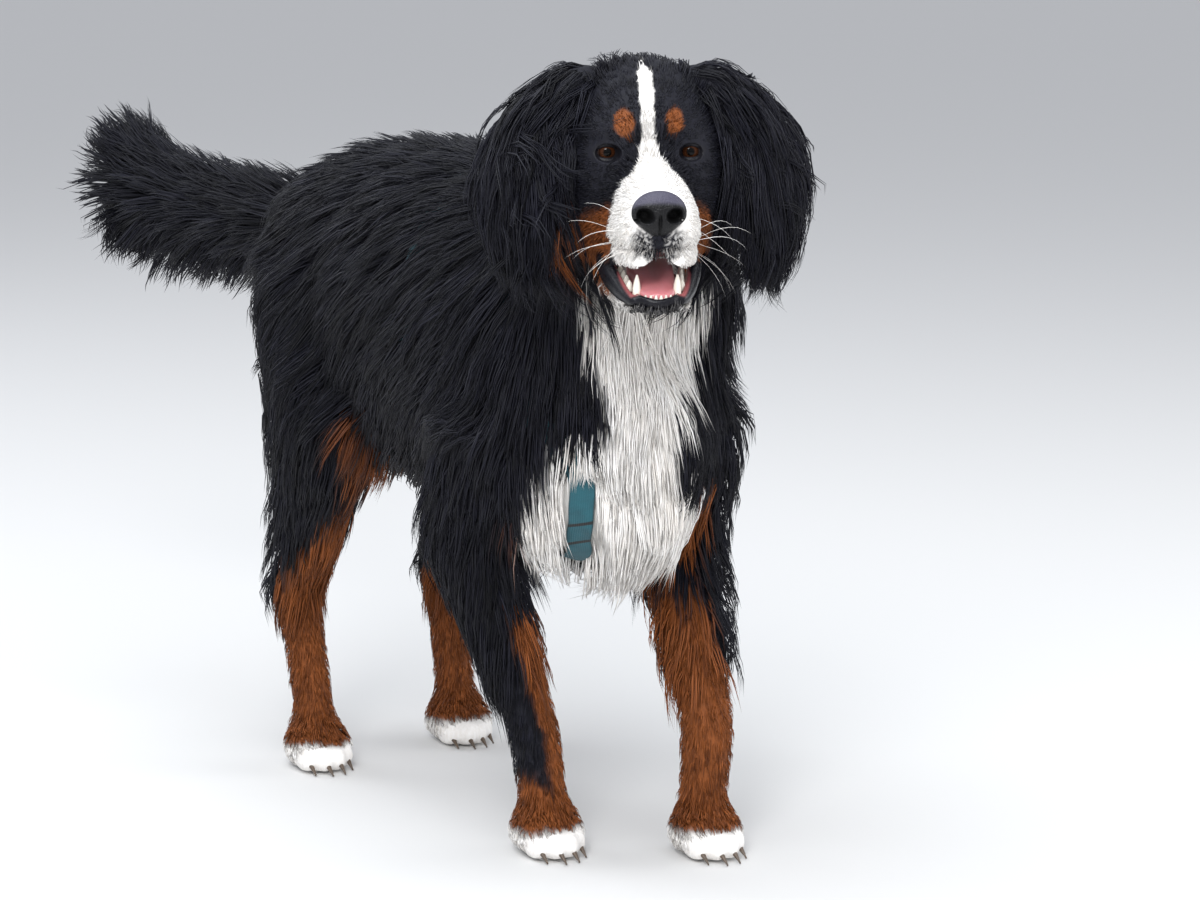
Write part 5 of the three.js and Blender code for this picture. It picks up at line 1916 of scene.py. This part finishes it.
def build_nose():
    """The nose leather, with its nostrils, wings and middle groove pressed in"""
    local, faces = unit_ball(60, 90)
    x, y, z = (local * NOSE_HALVES).T
    z = z * np.where(z < 0, 1.0, 0.9)
    x = x * (1 - 0.3 * step(-z, 4, 21))
    front = step(-y, 0, 6)
    deep = np.zeros(len(x))
    for sign in (-1, 1):
        across, up = sign * x - 13, z + 2
        hole = np.hypot(across / 9, (up - 0.12 * across) / 7.8)
        slit = np.hypot((across - 6) / 6.5, (up + 2.4 + 0.25 * across) / 2.6)
        hollow = np.maximum(1 - step(hole, 0.3, 1.05), 0.5 * (1 - step(slit, 0.2, 1.1)))
        deep = np.maximum(deep, hollow * front)
        wing = np.hypot((across + 0.5) / 8.5, (up - 8.5) / 4)
        y = y - front * 1.4 * (1 - step(wing, 0, 1.2))
    y = y + 14 * deep
    groove = np.exp(-((x / 1.4) ** 2)) * step(-z, -2, 5)
    y = y + front * 2.6 * groove
    # The groove's depth also darkens its colour, as painted shade
    deep = np.maximum(deep, 0.6 * groove * front)
    points = to_body(np.stack([x, y, z], 1) + NOSE_AT)
    # The top of the nose, which the colour lightens as a painted reflection
    top = step(z + 0.5 * y, 0.5, 6.5)
    mesh = mesh_of("nose_leather", points, faces)
    # Kept for the colour: depth as painted shade, top as painted reflection
    keep_vectors(mesh, "hollow", np.stack([deep, top, np.zeros(len(x))], 1))
    piece = add_object("nose_leather", mesh, nose_finish())
    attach(piece, "root")
    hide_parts("nose")


# The rings of a tooth, in shares of its height and radius, and of a claw, with its reach, height and radius
TOOTH = ((-0.3, 1.0), (0.2, 0.95), (0.6, 0.7), (0.9, 0.34), (1.0, 0.12))
CLAW = ((24.5, 2.4, 0.4), (22.5, 4.2, 1.2), (18.5, 7.2, 2.1), (14, 10, 2.8), (8, 11, 2.8))


def tooth_form(at, height, radius):
    keys = []
    for share, size in TOOTH:
        middle = (at[0], at[1] - 0.12 * height * share**2, at[2] + height * share)
        keys.append(ring(middle, size * radius, size * radius))
    return Form(keys, along=UP, of_head=True)


def tooth_finish():
    finish = Finish("tooth enamel")
    colour = finish.mix(finish.noise(finish.place(), 140, 2.0), (0.8, 0.74, 0.6), (0.93, 0.9, 0.82))
    return finish.done(
        Base_Color=colour, Roughness=0.22, Coat_Weight=0.5, Coat_Roughness=0.1, Specular_IOR_Level=0.5,
    )


def build_teeth():
    """The canines, incisors and cheek teeth of the lower jaw"""
    forms = [tooth_form((sign * 18.5, -77.5, -121), 16.5, 3.9) for sign in (-1, 1)]
    for step_out in (-2.5, -1.5, -0.5, 0.5, 1.5, 2.5):
        forms.append(tooth_form((step_out * 4.6, -91.5 + abs(step_out) * 1.6, -129), 7, 2.3))
    for sign in (-1, 1):
        for k in range(4):
            forms.append(tooth_form((sign * (24 + 1.4 * k), -66 + 13 * k, -119 + 3 * k), 8, 3.6))
    points, faces = joined_shells(forms, 12, 14)
    piece = add_object("teeth", mesh_of("teeth", points, faces), tooth_finish())
    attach(piece, "root")


def claw_finish():
    finish = Finish("horn of the claws")
    lines = finish.noise(finish.stretched(finish.place(), (900, 60, 60)), 1.0, 2.0)
    colour = finish.mix(lines, (0.02, 0.014, 0.01), (0.16, 0.11, 0.075))
    return finish.done(Base_Color=colour, Roughness=0.32)


def build_claws():
    forms = []
    for foot in FEET:
        for place in TOE_PLACES:
            x, front = toe_line(foot, place)
            forms.append(Form([ring((x, front - ahead, z), half, half) for ahead, z, half in CLAW]))
    points, faces = joined_shells(forms, 12, 10)
    piece = add_object("claws", mesh_of("claws", points, faces), claw_finish())
    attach(piece, "root")


build_tongue()
build_nose()
build_teeth()
build_claws()


# Harness

BAND_SIDES = 20


def build_band(name, path, node, material):
    """A band of webbing with rounded edges round a closed path"""
    steps = len(path)
    along = unit(np.roll(path, -1, 0) - np.roll(path, 1, 0))
    out = FIELD.out(path)
    out = unit(out - along * dot(out, along))
    across = np.cross(along, out)
    turn = turns_of(BAND_SIDES)
    wide = np.sign(np.cos(turn)) * np.abs(np.cos(turn)) ** 0.25
    thick = np.sign(np.sin(turn)) * np.abs(np.sin(turn)) ** 0.6
    spread = wide[None, :, None] * across[:, None] * STRAP_WIDTH / 2
    raised = thick[None, :, None] * out[:, None] * STRAP_THICKNESS / 2
    points = (path[:, None] + spread + raised).reshape(-1, 3)
    i, j = np.meshgrid(np.arange(steps), np.arange(BAND_SIDES), indexing="ij")
    own, following, beside = i * BAND_SIDES, (i + 1) % steps * BAND_SIDES, (j + 1) % BAND_SIDES
    faces = np.stack([own + j, following + j, following + beside, own + beside], -1).reshape(-1, 4)
    piece = add_object(name, mesh_of(name, points, faces), material)
    far = np.concatenate([[0], np.cumsum(np.linalg.norm(np.diff(path, axis=0), axis=1))])
    web = np.stack(np.broadcast_arrays(far[:, None], wide[None], thick[None]), -1)
    keep_vectors(piece.data, "web", web.reshape(-1, 3))
    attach(piece, "root")
    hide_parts(node)


def webbing_finish():
    """Woven deep teal webbing with darker edges and two thin black bands that climb to the dog's left"""
    finish = Finish("woven webbing")
    along, across, _ = finish.attribute("web")
    x, _, z = finish.axes(finish.place())
    ribs = (along * 4.6).math("SINE")
    weave = ribs * 0.5 + ribs * (across * 36).math("SINE") * 0.5
    patches = finish.noise(finish.place(), 90, 3.0)
    colour = finish.mix((patches + weave * 0.12).clamped(), (0.0025, 0.042, 0.058), (0.006, 0.1, 0.13))
    colour = finish.mix(across.math("ABSOLUTE").over(0.84, 0.97) * 0.6, colour, (0.0015, 0.02, 0.028))
    rise = z - (x - float(SHIFT[0] - 60) / 1000) * 0.36
    for height in (0.3605, 0.3365):
        band = 1 - (rise - height).math("ABSOLUTE").over(0.0015, 0.0022)
        colour = finish.mix(band, colour, (0.004, 0.004, 0.005))
    normal = finish.bump(weave, 0.45, 0.0006)
    return finish.done(Base_Color=colour, Roughness=0.66, Normal=normal, Sheen_Weight=0.1)


WEBBING = webbing_finish()
build_band("webbing_neck", NECK_PATH, "harness_neck", WEBBING)
build_band("webbing_girth", loop_path(girth_rays(), 180), "harness_girth", WEBBING)


# Floor, light and camera

FLOOR_REACH = 60.0
FLOOR_SIDES = 96
CAMERA_TURN = math.radians(31.09)
CAMERA_RISE = math.radians(10.25)
CAMERA_DISTANCE = 3853.6
CAMERA_LENS = 110.04
CAMERA_AIM = (0, 200, 400)
CAMERA_SHIFT = (131.8, -23.7)  # from the aim, to the right and up in the picture
COOL_WHITE = (0.93, 0.97, 1.0)
SKY_WHITE = (0.93, 0.96, 1.0)
LIGHTS = {  # place and aim, width, power and colour
    "overhead": ((-0.6, -0.6, 3.4), (0, 0, 0.4), 3.4, 88, COOL_WHITE),
    "front": ((-2.0, -2.5, 2.6), (0, -0.2, 0.5), 1.3, 70),
    "low fill": ((-0.7, -3.2, 0.6), (0, -0.2, 0.45), 1.8, 26),
    "side": ((3.4, -1.4, 1.8), (0, 0, 0.5), 2.2, 34),
    "behind": ((-1.6, 3.2, 2.6), (0, 0.3, 0.5), 2.4, 50, SKY_WHITE),
}
WORLD_COLOUR = (0.9, 0.93, 1.0, 1)
WORLD_STRENGTH = 0.74


def floor_finish():
    finish = Finish("pale floor")
    return finish.done(Base_Color=(0.66, 0.655, 0.645, 1), Roughness=0.9)


def build_floor():
    """A plain round floor that reaches past the horizon of every view"""
    turns = turns_of(FLOOR_SIDES)
    edge = [(FLOOR_REACH * math.cos(turn), FLOOR_REACH * math.sin(turn), 0) for turn in turns]
    faces = [(0, 1 + k, 1 + (k + 1) % FLOOR_SIDES) for k in range(FLOOR_SIDES)]
    mesh = bpy.data.meshes.new("floor")
    mesh.from_pydata([(0, 0, 0), *edge], [], faces)
    add_object("floor", mesh, floor_finish())


def add_light(name, at, aim, size, power, colour=(1, 1, 1)):
    data = bpy.data.lights.new(name, "AREA")
    data.shape = "DISK"
    data.size = size
    data.energy = power
    data.color = colour
    light = bpy.data.objects.new(name, data)
    light.location = at
    light.rotation_euler = (Vector(aim) - Vector(at)).to_track_quat("-Z", "Y").to_euler()
    bpy.context.scene.collection.objects.link(light)
    return light


def build_camera():
    forward = np.array([
        math.sin(CAMERA_TURN) * math.cos(CAMERA_RISE),
        math.cos(CAMERA_TURN) * math.cos(CAMERA_RISE),
        -math.sin(CAMERA_RISE),
    ])
    right = np.array([math.cos(CAMERA_TURN), -math.sin(CAMERA_TURN), 0])
    target = np.array(CAMERA_AIM) + right * CAMERA_SHIFT[0] + UP * CAMERA_SHIFT[1]
    data = bpy.data.cameras.new("camera")
    data.lens = CAMERA_LENS
    data.sensor_width = 36
    camera = bpy.data.objects.new("camera", data)
    camera.location = metres(target - forward * CAMERA_DISTANCE)
    camera.rotation_euler = Vector(forward).to_track_quat("-Z", "Y").to_euler()
    bpy.context.scene.collection.objects.link(camera)
    bpy.context.scene.camera = camera


build_floor()
build_camera()
lights = {name: add_light(name, *values) for name, values in LIGHTS.items()}
lights["low fill"].visible_glossy = False
world = bpy.data.worlds.new("studio")
world.use_nodes = True
background = world.node_tree.nodes["Background"].inputs
background["Color"].default_value = WORLD_COLOUR
background["Strength"].default_value = WORLD_STRENGTH
bpy.context.scene.world = world
bpy.context.scene.view_settings.view_transform = "Standard"
